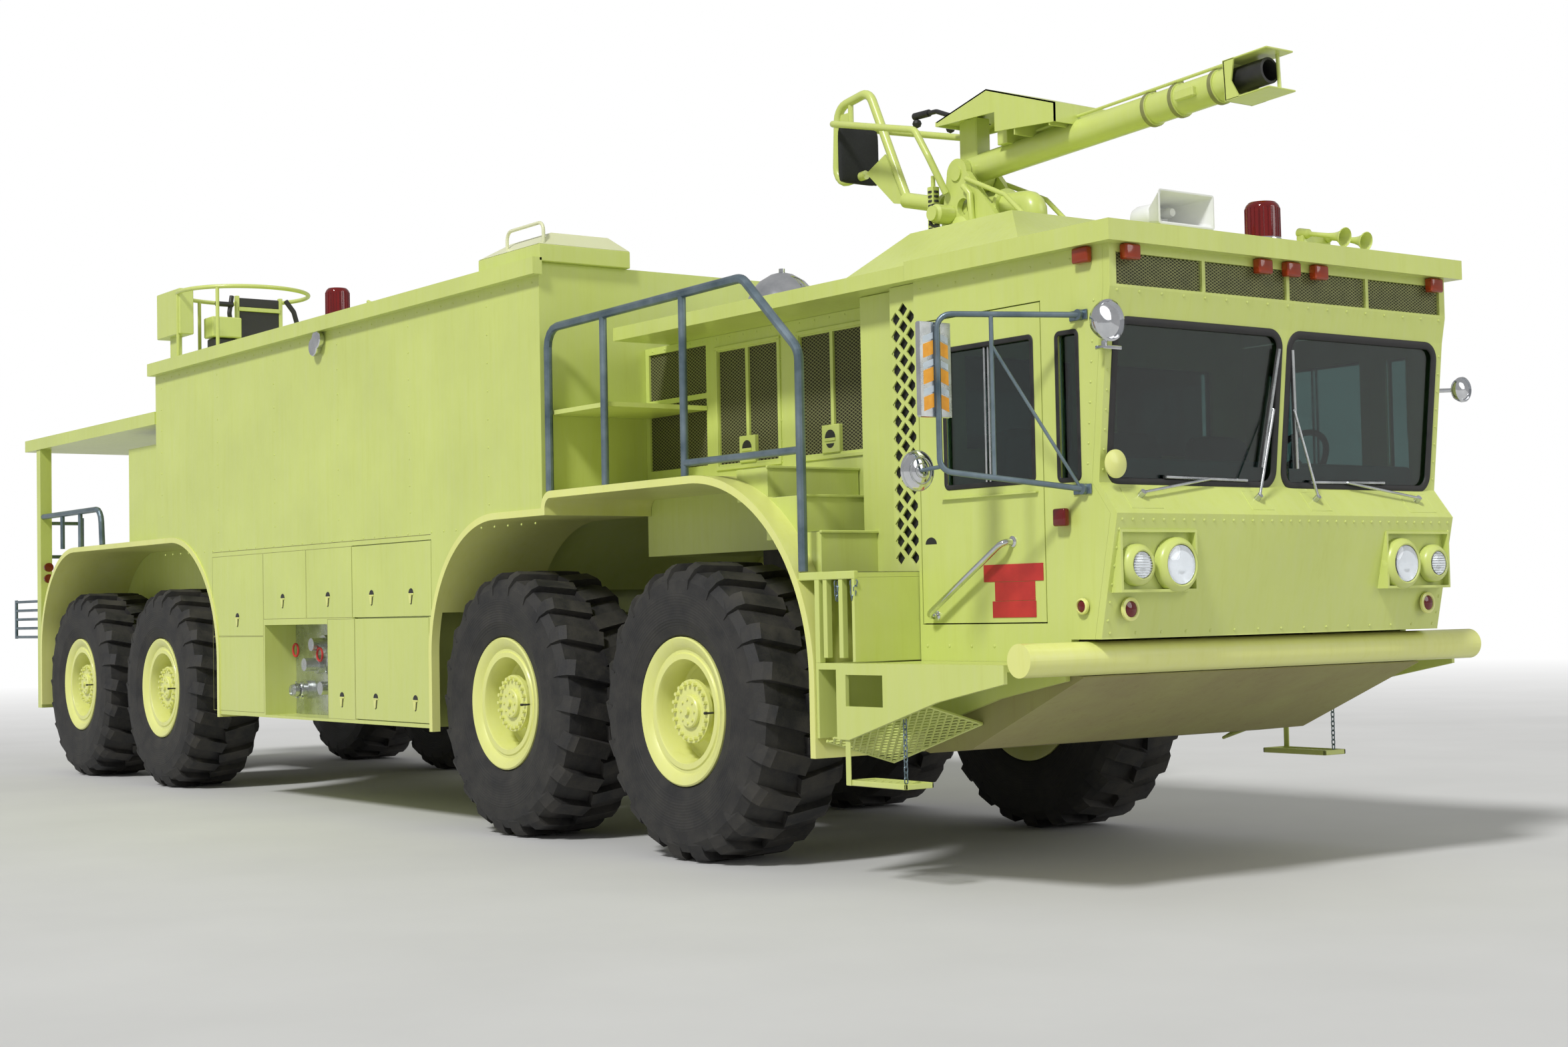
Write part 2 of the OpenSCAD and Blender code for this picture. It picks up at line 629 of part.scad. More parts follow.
// Half section of the tyre under its lugs
tread_r = tyre_r - 42;
tyre_line = [[318.5, 224], [350, 239.5], [388.5, 248.5], [400, 262], [480, 288], [600, half_tyre - 4], [680, half_tyre - 14],
    [tread_r - 8, 250], [tread_r, 180], [tread_r, -180], [tread_r - 8, -250], [680, 14 - half_tyre],
    [600, 4 - half_tyre], [480, -288], [400, -262], [388.5, -248.5],
    [350, -239.5], [318.5, -224]];
module tyre(x) translate([x, wheel_y, hub_z]) rotate([-90, 0, 0]) {
    rotate_extrude($fn = 96) polygon(tyre_line);
    for (i = [0 : lug_count - 1], s = [-1, 1])
        rotate([0, 0, (i + s * 0.25) * 360 / lug_count]) rotate([s * lug_tilt, 0, 0]) lug(s);
}
lug_w = 92;
lug_tilt = 14;
lug_shoulder = 225;
// Radius at which a lug's corner, t out from the middle, just reaches the tyre's radius
function lug_top(t) = sqrt(pow(tyre_r, 2) - pow(lug_w / 2 * cos(lug_tilt) + t * sin(lug_tilt), 2));
module lug(s) translate([0, lug_w / 2, 0]) rotate([90, 0, 0]) linear_extrude(lug_w)
    polygon([[tread_r - 30, s * -8], [lug_top(8), s * -8], [lug_top(lug_shoulder), s * lug_shoulder],
        [tyre_r - 34, s * 262], [690, s * 290], [640, s * 290], [640, s * 260]]);

module wheel_f1_left() color(bright_col) wheel(axle_f1);
module wheel_f1_right() color(bright_col) mirror([0, 1, 0]) wheel(axle_f1);
module wheel_f2_left() color(bright_col) wheel(axle_f2);
module wheel_f2_right() color(bright_col) mirror([0, 1, 0]) wheel(axle_f2);
module wheel_r1_left() color(bright_col) wheel(axle_r1);
module wheel_r1_right() color(bright_col) mirror([0, 1, 0]) wheel(axle_r1);
module wheel_r2_left() color(bright_col) wheel(axle_r2);
module wheel_r2_right() color(bright_col) mirror([0, 1, 0]) wheel(axle_r2);
module tyre_f1_left() color(black_col) tyre(axle_f1);
module tyre_f1_right() color(black_col) mirror([0, 1, 0]) tyre(axle_f1);
module tyre_f2_left() color(black_col) tyre(axle_f2);
module tyre_f2_right() color(black_col) mirror([0, 1, 0]) tyre(axle_f2);
module tyre_r1_left() color(black_col) tyre(axle_r1);
module tyre_r1_right() color(black_col) mirror([0, 1, 0]) tyre(axle_r1);
module tyre_r2_left() color(black_col) tyre(axle_r2);
module tyre_r2_right() color(black_col) mirror([0, 1, 0]) tyre(axle_r2);

frame_rails();
axles();
suspension();
cab_floor();
cab_walls();
cab_front();
cab_roof();
cab_glass();
cab_interior();
bumper();
side_steps();
front_fenders();
engine_housing();
housing_screens();
engines();
tank_body();
valve_panel();
handrails();
rear_fenders();
rear_house();
canopy();
rear_rails();
lamps_and_horns();
mirrors();
wipers();
turret_bases();
cab_door_right();
cab_door_left();
door_glass_right();
door_glass_left();
turret_front_mount();
turret_front_barrel();
turret_rear_mount();
turret_rear_barrel();
tank_hatch();
locker_upper_right();
locker_upper_left();
locker_lower_right();
locker_lower_left();
knuckle_f1_right();
knuckle_f1_left();
knuckle_f2_right();
knuckle_f2_left();
wheel_f1_right();
wheel_f1_left();
wheel_f2_right();
wheel_f2_left();
wheel_r1_right();
wheel_r1_left();
wheel_r2_right();
wheel_r2_left();
tyre_f1_right();
tyre_f1_left();
tyre_f2_right();
tyre_f2_left();
tyre_r1_right();
tyre_r1_left();
tyre_r2_right();
tyre_r2_left();
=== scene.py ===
import math

import bmesh
import bpy
from mathutils import Matrix, Vector
from mathutils.geometry import tessellate_polygon


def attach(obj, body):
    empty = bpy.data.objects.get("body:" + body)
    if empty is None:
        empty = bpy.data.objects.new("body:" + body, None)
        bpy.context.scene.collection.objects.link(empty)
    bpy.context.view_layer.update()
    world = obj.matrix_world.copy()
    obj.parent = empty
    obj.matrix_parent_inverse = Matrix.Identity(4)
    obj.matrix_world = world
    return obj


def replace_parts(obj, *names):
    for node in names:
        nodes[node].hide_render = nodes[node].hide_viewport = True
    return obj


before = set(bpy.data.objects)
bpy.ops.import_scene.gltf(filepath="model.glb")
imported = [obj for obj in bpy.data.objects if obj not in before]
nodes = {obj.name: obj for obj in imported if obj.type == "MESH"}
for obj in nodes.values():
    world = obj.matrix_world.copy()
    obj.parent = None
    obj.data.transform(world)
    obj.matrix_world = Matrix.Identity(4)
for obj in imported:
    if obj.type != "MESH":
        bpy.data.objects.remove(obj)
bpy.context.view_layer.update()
print("frame loaded:", len(nodes), "nodes")

# Materials: tones of the paint (the darkest tone is the yellow in painted shade, for the parts under the body), node
# helpers, then one material for each finish
bodyLook = {"paint": (0.6, 0.68, 0.185, 1), "dust": (0.42, 0.38, 0.22, 1), "rough": 0.36}
brightLook = {"paint": (0.76, 0.79, 0.25, 1), "dust": (0.47, 0.42, 0.22, 1), "rough": 0.34}
shadeLook = {"paint": (0.36, 0.36, 0.12, 1), "dust": (0.22, 0.17, 0.1, 1), "rough": 0.6}
hatchLook = {"paint": (0.74, 0.76, 0.48, 1), "dust": (0.45, 0.42, 0.28, 1), "rough": 0.4}


def groupShell(name, ins, outs):
    g = bpy.data.node_groups.new(name, "ShaderNodeTree")
    for n, kind, value in ins:
        s = g.interface.new_socket(name=n, in_out="INPUT", socket_type=kind)
        s.default_value = value
    for n, kind in outs:
        g.interface.new_socket(name=n, in_out="OUTPUT", socket_type=kind)
    return g, g.nodes.new("NodeGroupInput"), g.nodes.new("NodeGroupOutput")


def mathNode(tree, op, a, b=None, clamp=False):
    n = tree.nodes.new("ShaderNodeMath")
    n.operation = op
    n.use_clamp = clamp
    for i, v in enumerate((a, b)):
        if v is None:
            continue
        if isinstance(v, (int, float)):
            n.inputs[i].default_value = v
        else:
            tree.links.new(v, n.inputs[i])
    return n.outputs[0]


def mixColour(tree, factor, a, b):
    n = tree.nodes.new("ShaderNodeMix")
    n.data_type = "RGBA"
    tree.links.new(factor, n.inputs[0])
    for i, v in ((6, a), (7, b)):
        if isinstance(v, tuple):
            n.inputs[i].default_value = v
        else:
            tree.links.new(v, n.inputs[i])
    return n.outputs[2]


def noiseNode(tree, where, scale, detail=4.0, rough=0.55):
    n = tree.nodes.new("ShaderNodeTexNoise")
    n.inputs["Scale"].default_value = scale
    n.inputs["Detail"].default_value = detail
    n.inputs["Roughness"].default_value = rough
    tree.links.new(where, n.inputs["Vector"])
    return n.outputs["Fac"]


def rangeNode(tree, value, low, high, toLow=0.0, toHigh=1.0):
    n = tree.nodes.new("ShaderNodeMapRange")
    n.inputs["From Min"].default_value = low
    n.inputs["From Max"].default_value = high
    n.inputs["To Min"].default_value = toLow
    n.inputs["To Max"].default_value = toHigh
    tree.links.new(value, n.inputs["Value"])
    return n.outputs["Result"]


def objectSpace(tree):
    return tree.nodes.new("ShaderNodeTexCoord").outputs["Object"]


def splitSpace(tree):
    sep = tree.nodes.new("ShaderNodeSeparateXYZ")
    tree.links.new(objectSpace(tree), sep.inputs[0])
    return sep.outputs


# Road dust that thins out upwards, faded patches, and vertical streaks
def makePaintGroup():
    g, gi, go = groupShell("sunFadedPaint",
        [("Paint", "NodeSocketColor", (0.7, 0.7, 0.2, 1)), ("Dust", "NodeSocketColor", (0.4, 0.35, 0.2, 1)),
         ("Gloss", "NodeSocketFloat", 0.35), ("Reach", "NodeSocketFloat", 1.3), ("Amount", "NodeSocketFloat", 0.35)],
        [("Color", "NodeSocketColor"), ("Roughness", "NodeSocketFloat"), ("Height", "NodeSocketFloat")])
    t = g
    where = objectSpace(t)
    broad = noiseNode(t, where, 1.7, 5.0, 0.6)
    fine = noiseNode(t, where, 38.0, 3.0, 0.6)
    stretch = t.nodes.new("ShaderNodeMapping")
    stretch.inputs["Scale"].default_value = (9.0, 9.0, 0.7)
    t.links.new(where, stretch.inputs["Vector"])
    streak = noiseNode(t, stretch.outputs[0], 2.2, 4.0, 0.7)
    drop = mathNode(t, "SUBTRACT", gi.outputs["Reach"], splitSpace(t)["Z"])
    low = rangeNode(t, drop, -0.3, 1.0)
    dusty = mathNode(t, "MULTIPLY", low, rangeNode(t, broad, 0.3, 0.75, 0.25, 1.0))
    dusty = mathNode(t, "ADD", dusty, rangeNode(t, streak, 0.56, 0.8, 0.0, 0.35))
    dusty = mathNode(t, "MULTIPLY", dusty, gi.outputs["Amount"], clamp=True)
    shade = t.nodes.new("ShaderNodeHueSaturation")
    t.links.new(gi.outputs["Paint"], shade.inputs["Color"])
    t.links.new(rangeNode(t, broad, 0.25, 0.75, 0.93, 1.05), shade.inputs["Value"])
    t.links.new(rangeNode(t, streak, 0.3, 0.7, 0.95, 1.04), shade.inputs["Saturation"])
    t.links.new(mixColour(t, dusty, shade.outputs[0], gi.outputs["Dust"]), go.inputs["Color"])
    matt = mathNode(t, "MULTIPLY", dusty, 0.45)
    rough = mathNode(t, "ADD", mathNode(t, "ADD", gi.outputs["Gloss"], matt),
        rangeNode(t, fine, 0.3, 0.7, -0.04, 0.05), clamp=True)
    t.links.new(rough, go.inputs["Roughness"])
    t.links.new(mathNode(t, "ADD", fine, mathNode(t, "MULTIPLY", dusty, 0.3)), go.inputs["Height"])
    return g


# Distance from a wheel's axle, and rings drawn by it
def makeRingGroup():
    g, gi, go = groupShell("aroundAxle", [("Axle X", "NodeSocketFloat", 0.0), ("Axle Z", "NodeSocketFloat", 0.778)],
        [("Radius", "NodeSocketFloat")])
    spot = splitSpace(g)
    dx = mathNode(g, "SUBTRACT", spot["X"], gi.outputs["Axle X"])
    dz = mathNode(g, "SUBTRACT", spot["Z"], gi.outputs["Axle Z"])
    sq = mathNode(g, "ADD", mathNode(g, "MULTIPLY", dx, dx), mathNode(g, "MULTIPLY", dz, dz))
    g.links.new(mathNode(g, "SQRT", sq), go.inputs["Radius"])
    return g


paintGroup = makePaintGroup()
ringGroup = makeRingGroup()


def newMaterial(name, **sockets):
    m = bpy.data.materials.new(name)
    m.use_nodes = True
    shader = m.node_tree.nodes["Principled BSDF"]
    for key, value in sockets.items():
        shader.inputs[key.replace("_", " ")].default_value = value
    return m, m.node_tree, shader


def bumpInto(tree, shader, height, strength, distance):
    b = tree.nodes.new("ShaderNodeBump")
    b.inputs["Strength"].default_value = strength
    b.inputs["Distance"].default_value = distance
    tree.links.new(height, b.inputs["Height"])
    tree.links.new(b.outputs[0], shader.inputs["Normal"])


def paintMaterial(name, look, reach=1.3, amount=0.35, coat=0.25):
    m, t, shader = newMaterial(name, Coat_Weight=coat, Coat_Roughness=0.18)
    g = t.nodes.new("ShaderNodeGroup")
    g.node_tree = paintGroup
    g.inputs["Paint"].default_value = look["paint"]
    g.inputs["Dust"].default_value = look["dust"]
    g.inputs["Gloss"].default_value = look["rough"]
    g.inputs["Reach"].default_value = reach
    g.inputs["Amount"].default_value = amount
    t.links.new(g.outputs["Color"], shader.inputs["Base Color"])
    t.links.new(g.outputs["Roughness"], shader.inputs["Roughness"])
    bumpInto(t, shader, g.outputs["Height"], 0.12, 0.002)
    return m


# Two tones mixed by noise, with a matching roughness and a fine bump
def grainMaterial(name, dark, light, scale, rough=(0.4, 0.6), bump=0.1, metallic=0.0, depth=0.002, **sockets):
    m, t, shader = newMaterial(name, **sockets)
    where = objectSpace(t)
    n = noiseNode(t, where, scale, 5.0, 0.6)
    t.links.new(mixColour(t, rangeNode(t, n, 0.3, 0.7), (*dark, 1), (*light, 1)), shader.inputs["Base Color"])
    t.links.new(rangeNode(t, n, 0.3, 0.7, *rough), shader.inputs["Roughness"])
    shader.inputs["Metallic"].default_value = metallic
    bumpInto(t, shader, noiseNode(t, where, scale * 4, 3.0), bump, depth)
    return m


# Tyre rubber with moulded rings on the side wall and dust between the lugs
def tyreMaterial(name, axleX):
    m, t, shader = newMaterial(name)
    g = t.nodes.new("ShaderNodeGroup")
    g.node_tree = ringGroup
    g.inputs["Axle X"].default_value = axleX
    radius = g.outputs["Radius"]
    where = objectSpace(t)
    n = noiseNode(t, where, 6.0, 6.0, 0.65)
    wall = mixColour(t, rangeNode(t, n, 0.35, 0.7), (0.012, 0.012, 0.013, 1), (0.04, 0.038, 0.034, 1))
    worn = mathNode(t, "MULTIPLY", rangeNode(t, radius, 0.7, 0.775), rangeNode(t, n, 0.4, 0.65))
    t.links.new(mixColour(t, mathNode(t, "MULTIPLY", worn, 0.35), wall, (0.075, 0.066, 0.052, 1)),
        shader.inputs["Base Color"])
    t.links.new(rangeNode(t, n, 0.3, 0.7, 0.62, 0.85), shader.inputs["Roughness"])
    rings = mathNode(t, "SINE", mathNode(t, "MULTIPLY", radius, 420.0))
    band = mathNode(t, "MULTIPLY", mathNode(t, "GREATER_THAN", radius, 0.44), mathNode(t, "LESS_THAN", radius, 0.62))
    height = mathNode(t, "ADD", mathNode(t, "MULTIPLY", mathNode(t, "MULTIPLY", rings, band), 0.5),
        noiseNode(t, where, 90.0, 3.0))
    bumpInto(t, shader, height, 0.35, 0.004)
    return m


# Sheet with a diamond mesh drawn in dark and light, for screens too fine to build; the dark between the wires is
# painted shade of the space behind the screen
def meshMaterial(name, wire, shadeBehind, pitch):
    m, t, shader = newMaterial(name, Metallic=0.3)
    spot = splitSpace(t)
    rise = mathNode(t, "MULTIPLY", spot["Z"], 1.8)
    waves = [mathNode(t, "SINE", mathNode(t, "MULTIPLY", mathNode(t, op, spot["X"], rise), 2 * math.pi / pitch))
        for op in ("ADD", "SUBTRACT")]
    strands = mathNode(t, "MAXIMUM", *waves)
    mask = rangeNode(t, strands, 0.72, 0.86)
    t.links.new(mixColour(t, mask, shadeBehind, wire), shader.inputs["Base Color"])
    t.links.new(rangeNode(t, mask, 0, 1, 0.9, 0.45), shader.inputs["Roughness"])
    bumpInto(t, shader, mask, 0.8, 0.006)
    return m


def glassMaterial(name, colour, rough=0.02, through=1.0, ior=1.45):
    m, t, shader = newMaterial(name, IOR=ior, Transmission_Weight=through, Coat_Weight=0.4, Coat_Roughness=0.03)
    where = objectSpace(t)
    n = noiseNode(t, where, 2.5, 3.0)
    darker = tuple(c * 0.86 for c in colour[:3]) + (1,)
    t.links.new(mixColour(t, rangeNode(t, n, 0.3, 0.7), darker, colour), shader.inputs["Base Color"])
    t.links.new(rangeNode(t, noiseNode(t, where, 14.0), 0.45, 0.8, rough, rough + 0.05), shader.inputs["Roughness"])
    return m


bodyPaint = paintMaterial("bodyPaint", bodyLook)
brightPaint = paintMaterial("fenderPaint", brightLook, 1.2, 0.3, 0.35)
# Frame, axles, knuckles and cab floor: the body yellow darkened as painted shade, with heavy dust over it
shadePaint = paintMaterial("chassisShadePaint", shadeLook, 3.0, 0.75, 0.0)
hatchPaint = paintMaterial("hatchPaint", hatchLook, 3.6, 0.25)
springSteel = grainMaterial("springSteel", (0.035, 0.032, 0.028), (0.1, 0.08, 0.055), 9, (0.55, 0.8), 0.3)
tubeSteel = grainMaterial("railTube", (0.085, 0.13, 0.16), (0.22, 0.28, 0.32), 5, (0.28, 0.45), 0.1, 0.6)
agedBand = grainMaterial("agedBand", (0.2, 0.205, 0.08), (0.34, 0.35, 0.14), 10, (0.4, 0.6), 0.1, 0.4)
gritAndShadeMat = grainMaterial("gritAndShadeMat", (0.03, 0.032, 0.028), (0.07, 0.075, 0.06), 60, (0.7, 0.9), 0.3)
seamShade = grainMaterial("seamShade", (0.16, 0.16, 0.05), (0.26, 0.26, 0.09), 20, (0.6, 0.8), 0.05)
chrome = grainMaterial("chrome", (0.55, 0.57, 0.6), (0.8, 0.81, 0.83), 7, (0.05, 0.14), 0.02, 1.0)
satinChrome = grainMaterial("satinSteel", (0.45, 0.47, 0.48), (0.66, 0.68, 0.69), 12, (0.2, 0.34), 0.05, 0.9)
rubber = grainMaterial("blackRubber", (0.01, 0.01, 0.011), (0.028, 0.027, 0.026), 16, (0.5, 0.7), 0.12)
vinyl = grainMaterial("seatVinyl", (0.015, 0.02, 0.02), (0.035, 0.04, 0.04), 60, (0.45, 0.6), 0.5)
dashPaint = grainMaterial("dashPaint", (0.03, 0.12, 0.11), (0.05, 0.17, 0.155), 20, (0.5, 0.65), 0.2)
blackPaint = grainMaterial("blackPaint", (0.012, 0.012, 0.012), (0.03, 0.03, 0.028), 10, (0.4, 0.6), 0.1)
castIron = grainMaterial("engineIron", (0.05, 0.05, 0.045), (0.13, 0.12, 0.1), 8, (0.55, 0.8), 0.35, 0.4)
whiteHorn = grainMaterial("hornPlastic", (0.72, 0.73, 0.72), (0.84, 0.85, 0.83), 4, (0.35, 0.5), 0.05)
placardRed = grainMaterial("placardRed", (0.42, 0.02, 0.02), (0.58, 0.035, 0.03), 7, (0.4, 0.55), 0.06)
chevronOrange = grainMaterial("chevronOrange", (0.85, 0.34, 0.02), (0.95, 0.45, 0.04), 30, (0.3, 0.45), 0.1)
slingCloth = grainMaterial("slingCloth", (0.008, 0.009, 0.01), (0.025, 0.026, 0.028), 160, (0.8, 0.95), 0.6)
paneGlass = glassMaterial("paneGlass", (0.17, 0.27, 0.26, 1))
clearGlass = glassMaterial("lensGlass", (0.92, 0.95, 0.97, 1), 0.03)
redGlass = glassMaterial("redGlass", (0.24, 0.004, 0.004, 1), 0.06, 0.5)
amberGlass = glassMaterial("amberGlass", (0.46, 0.055, 0.01, 1), 0.12, 0.4)
screenMesh = meshMaterial("screenMesh", (0.3, 0.3, 0.13, 1), (0.03, 0.028, 0.016, 1), 0.034)
grilleWire = grainMaterial("grilleWire", (0.24, 0.25, 0.1), (0.36, 0.37, 0.15), 12, (0.5, 0.7), 0.15)

axleX = {"f1": 3.998, "f2": 2.118, "r1": -3.41, "r2": -5.29}
tyreRubber = {k: tyreMaterial("tyreRubber_" + k, x) for k, x in axleX.items()}

nodeLook = {"frame_rails": shadePaint, "axles": shadePaint, "cab_floor": shadePaint, "suspension": springSteel,
    "cab_glass": paneGlass, "door_glass_right": paneGlass, "door_glass_left": paneGlass, "cab_interior": vinyl,
    "housing_screens": screenMesh, "engines": castIron, "valve_panel": satinChrome, "handrails": tubeSteel,
    "rear_rails": tubeSteel, "lamps_and_horns": chrome, "mirrors": chrome, "wipers": satinChrome,
    "bumper": brightPaint, "front_fenders": brightPaint, "rear_fenders": brightPaint, "tank_hatch": hatchPaint}
for name, ob in nodes.items():
    if name.startswith("tyre_"):
        look = tyreRubber[name.split("_")[1]]
    elif name.startswith("wheel_"):
        look = brightPaint
    elif name.startswith("knuckle_"):
        look = shadePaint
    else:
        look = nodeLook.get(name, bodyPaint)
    ob.data.materials.clear()
    ob.data.materials.append(look)
print("materials on", len(nodes), "nodes")


# Mesh helpers
def place(name, shapes, material, body="chassis", smooth=True, angle=35.0):
    verts, faces = [], []
    for vs, fs in shapes:
        at = len(verts)
        verts += [tuple(v) for v in vs]
        faces += [[i + at for i in f] for f in fs]
    mesh = bpy.data.meshes.new(name)
    mesh.from_pydata(verts, [], faces)
    bm = bmesh.new()
    bm.from_mesh(mesh)
    bmesh.ops.recalc_face_normals(bm, faces=bm.faces)
    bm.to_mesh(mesh)
    bm.free()
    if smooth:
        mesh.shade_smooth()
        mesh.set_sharp_from_angle(angle=math.radians(angle))
    mesh.materials.append(material)
    ob = bpy.data.objects.new(name, mesh)
    bpy.context.scene.collection.objects.link(ob)
    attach(ob, body)
    return ob


def mirrored(shapes):
    return [([(v[0], -v[1], v[2]) for v in vs], [list(reversed(f)) for f in fs]) for vs, fs in shapes]


def bothSides(shapes):
    return list(shapes) + mirrored(shapes)


def around(count):
    return [2 * math.pi * k / count for k in range(count)]


# Faces between neighbouring rows of points, with a cap at each end unless the rows close on themselves
def bands(rows, sides, closed):
    fs = []
    for i in range(rows if closed else rows - 1):
        j = (i + 1) % rows
        for k in range(sides):
            m = (k + 1) % sides
            fs.append([i * sides + k, i * sides + m, j * sides + m, j * sides + k])
    if not closed:
        fs += [list(range(sides - 1, -1, -1)), [(rows - 1) * sides + k for k in range(sides)]]
    return fs


def shapeOf(bm):
    bm.verts.index_update()
    shape = [v.co.copy() for v in bm.verts], [[v.index for v in f.verts] for f in bm.faces]
    bm.free()
    return shape


# Ring of profile points (radius, distance) turned round an axis from a foot point
def turned(profile, foot, axis, sides=32, closed=False):
    axis = Vector(axis).normalized()
    side = axis.orthogonal().normalized()
    up = axis.cross(side)
    foot = Vector(foot)
    vs = [foot + axis * h + (side * math.cos(a) + up * math.sin(a)) * max(r, 1e-5)
        for r, h in profile for a in around(sides)]
    return vs, bands(len(profile), sides, closed)


# Round bar along points; flat < 1 presses it along the given normal
def tube(points, r, sides=10, loop=False, flat=1.0, normal=None):
    pts = [Vector(p) for p in points]
    n = len(pts)
    vs = []
    ref = Vector(normal).normalized() if normal else None
    last = None
    for i, p in enumerate(pts):
        a = pts[(i - 1) % n] if loop or i else pts[0]
        b = pts[(i + 1) % n] if loop or i < n - 1 else pts[-1]
        along = (b - a).normalized()
        if ref:
            side = along.cross(ref).normalized()
            up = side.cross(along).normalized()
        else:
            side = along.orthogonal().normalized() if last is None else (last - along * last.dot(along)).normalized()
            up = along.cross(side)
            last = side
        vs += [p + side * math.cos(t) * r + up * math.sin(t) * r * flat for t in around(sides)]
    return vs, bands(n, sides, loop)


# Box with rounded edges between two corners, a cube with bevelled edges
def softBox(low, high, r, steps=3):
    bm = bmesh.new()
    bmesh.ops.create_cube(bm, size=1.0)
    lo, hi = Vector(low), Vector(high)
    for v in bm.verts:
        v.co = Vector([lo[i] + (v.co[i] + 0.5) * (hi[i] - lo[i]) for i in range(3)])
    bmesh.ops.bevel(bm, geom=list(bm.edges), offset=r, segments=steps, affect="EDGES", profile=0.5)
    return shapeOf(bm)


def plate(corners, normal, t):
    n = Vector(normal).normalized() * t
    vs = [Vector(c) for c in corners] + [Vector(c) + n for c in corners]
    k = len(corners)
    fs = [list(range(k - 1, -1, -1)), list(range(k, 2 * k))]
    fs += [[i, (i + 1) % k, k + (i + 1) % k, k + i] for i in range(k)]
    return vs, fs


def roundedLoop(w, h, r, steps=6):
    out = []
    for cx, cy, a0 in ((w - r, h - r, 0), (r, h - r, 90), (r, r, 180), (w - r, r, 270)):
        for k in range(steps + 1):
            a = math.radians(a0 + 90 * k / steps)
            out.append((cx + r * math.cos(a), cy + r * math.sin(a)))
    return out


# Path with its corners rounded to a bend radius
def rounded(points, bend, steps=5):
    pts = [Vector(p) for p in points]
    out = [pts[0]]
    for p0, p1, p2 in zip(pts, pts[1:], pts[2:]):
        u, v = (p1 - p0).normalized(), (p2 - p1).normalized()
        half = u.angle(v) / 2
        reach = bend * math.tan(half)
        c = p1 + (v - u).normalized() * bend / math.cos(half)
        e = (p1 - u * reach - c) / bend
        for k in range(steps + 1):
            t = 2 * half * k / steps
            out.append(c + bend * (e * math.cos(t) + u * math.sin(t)))
    return out + [pts[-1]]


noseLine = [(6.759, 1.141), (6.759, 1.148), (6.87, 1.679), (6.765, 1.815), (6.838, 2.53), (6.86, 2.65), (6.86, 2.836)]


def noseAt(z):
    for (x0, z0), (x1, z1) in zip(noseLine, noseLine[1:]):
        if z0 <= z <= z1 and z1 > z0:
            return x0 + (x1 - x0) * (z - z0) / (z1 - z0), Vector((z1 - z0, 0, x0 - x1)).normalized()
    return 6.86, Vector((1, 0, 0))


def onNose(y, z, d):
    x, n = noseAt(z)
    return Vector((x, y, z)) + n * d


def loft(sections):
    return [p for s in sections for p in s], bands(len(sections), len(sections[0]), False)


# Sheet from loops of points, the outline and then its holes, put in place by a function
def sheet(loops, put, t):
    flat = [p for loop in loops for p in loop]
    tris = tessellate_polygon([[Vector((p[0], p[1], 0)) for p in loop] for loop in loops])
    n = len(flat)
    vs = [put(a, b, 0.0) for a, b in flat] + [put(a, b, t) for a, b in flat]
    fs = [list(f) for f in tris] + [[i + n for i in reversed(f)] for f in tris]
    at = 0
    for loop in loops:
        k = len(loop)
        fs += [[at + i, at + (i + 1) % k, n + at + (i + 1) % k, n + at + i] for i in range(k)]
        at += k
    return vs, fs


def sideSheet(loops, y0, y1):
    return sheet(loops, lambda a, b, c: Vector((a, y0 + c, b)), y1 - y0)


def ringLoop(x, z, r, a0=0, a1=360, steps=40):
    full = a1 - a0 >= 360
    return [(x + r * math.cos(math.radians(a0 + (a1 - a0) * k / steps)),
        z + r * math.sin(math.radians(a0 + (a1 - a0) * k / steps))) for k in range(steps if full else steps + 1)]


def oblong(x0, x1, z0, z1):
    return [(x0, z0), (x1, z0), (x1, z1), (x0, z1)]


def block(low, high, r=0.003):
    return softBox([min(a, b) for a, b in zip(low, high)], [max(a, b) for a, b in zip(low, high)], r, 1)


# Wires in two slanting directions over a rectangle that a function puts in place
def lattice(w, h, pitch, wire, put, slope=0.6):
    out = []
    reach = h / slope
    for sign in (1, -1):
        for i in range(int((w + reach) / pitch) + 1):
            a = -reach + i * pitch if sign > 0 else w + reach - i * pitch
            t0 = max(0.0, -a / reach if sign > 0 else (a - w) / reach)
            t1 = min(1.0, (w - a) / reach if sign > 0 else a / reach)
            if t1 - t0 > 0.03:
                out.append(tube([put(a + sign * reach * t, h * t) for t in (t0, t1)], wire, 4))
    return out


def frustumBox(low, high, z0, z1):
    vs = [Vector((x, y, z)) for box, z in ((low, z0), (high, z1)) for x, y in oblong(*box)]
    return vs, [[3, 2, 1, 0], [4, 5, 6, 7]] + [[i, (i + 1) % 4, 4 + (i + 1) % 4, 4 + i] for i in range(4)]


# Shapes listed in a dictionary: boxes, straight and bent bars, discs and turned profiles
def build(spec):
    out = [block(*row) for row in spec.get("blocks", ())]
    out += [tube(points, r, sides) for r, sides, *points in spec.get("bars", ())]
    out += [tube(rounded(points, bend), r, sides) for r, sides, bend, *points in spec.get("bends", ())]
    out += [turned([(r, near), (r, far)], at, axis, sides) for r, near, far, at, axis, sides in spec.get("discs", ())]
    return out + [turned(profile, at, axis, sides) for profile, at, axis, sides in spec.get("turned", ())]


ahead, across, upright = (1, 0, 0), (0, 1, 0), (0, 0, 1)
doorSides = (("right", mirrored), ("left", list))

# Rivets along the cab, the housing and the tank
def dome(at, normal, r=0.0085, h=0.0045, sides=8):
    return turned([(r, -0.001), (r * 0.92, h * 0.45), (r * 0.5, h * 0.9), (0, h)], at, normal, sides)


def rivetRow(start, end, pitch, normal, r=0.0085):
    a, b = Vector(start), Vector(end)
    count = max(1, round((b - a).length / pitch))
    return [dome(a + (b - a) * i / count, normal, r) for i in range(count + 1)]


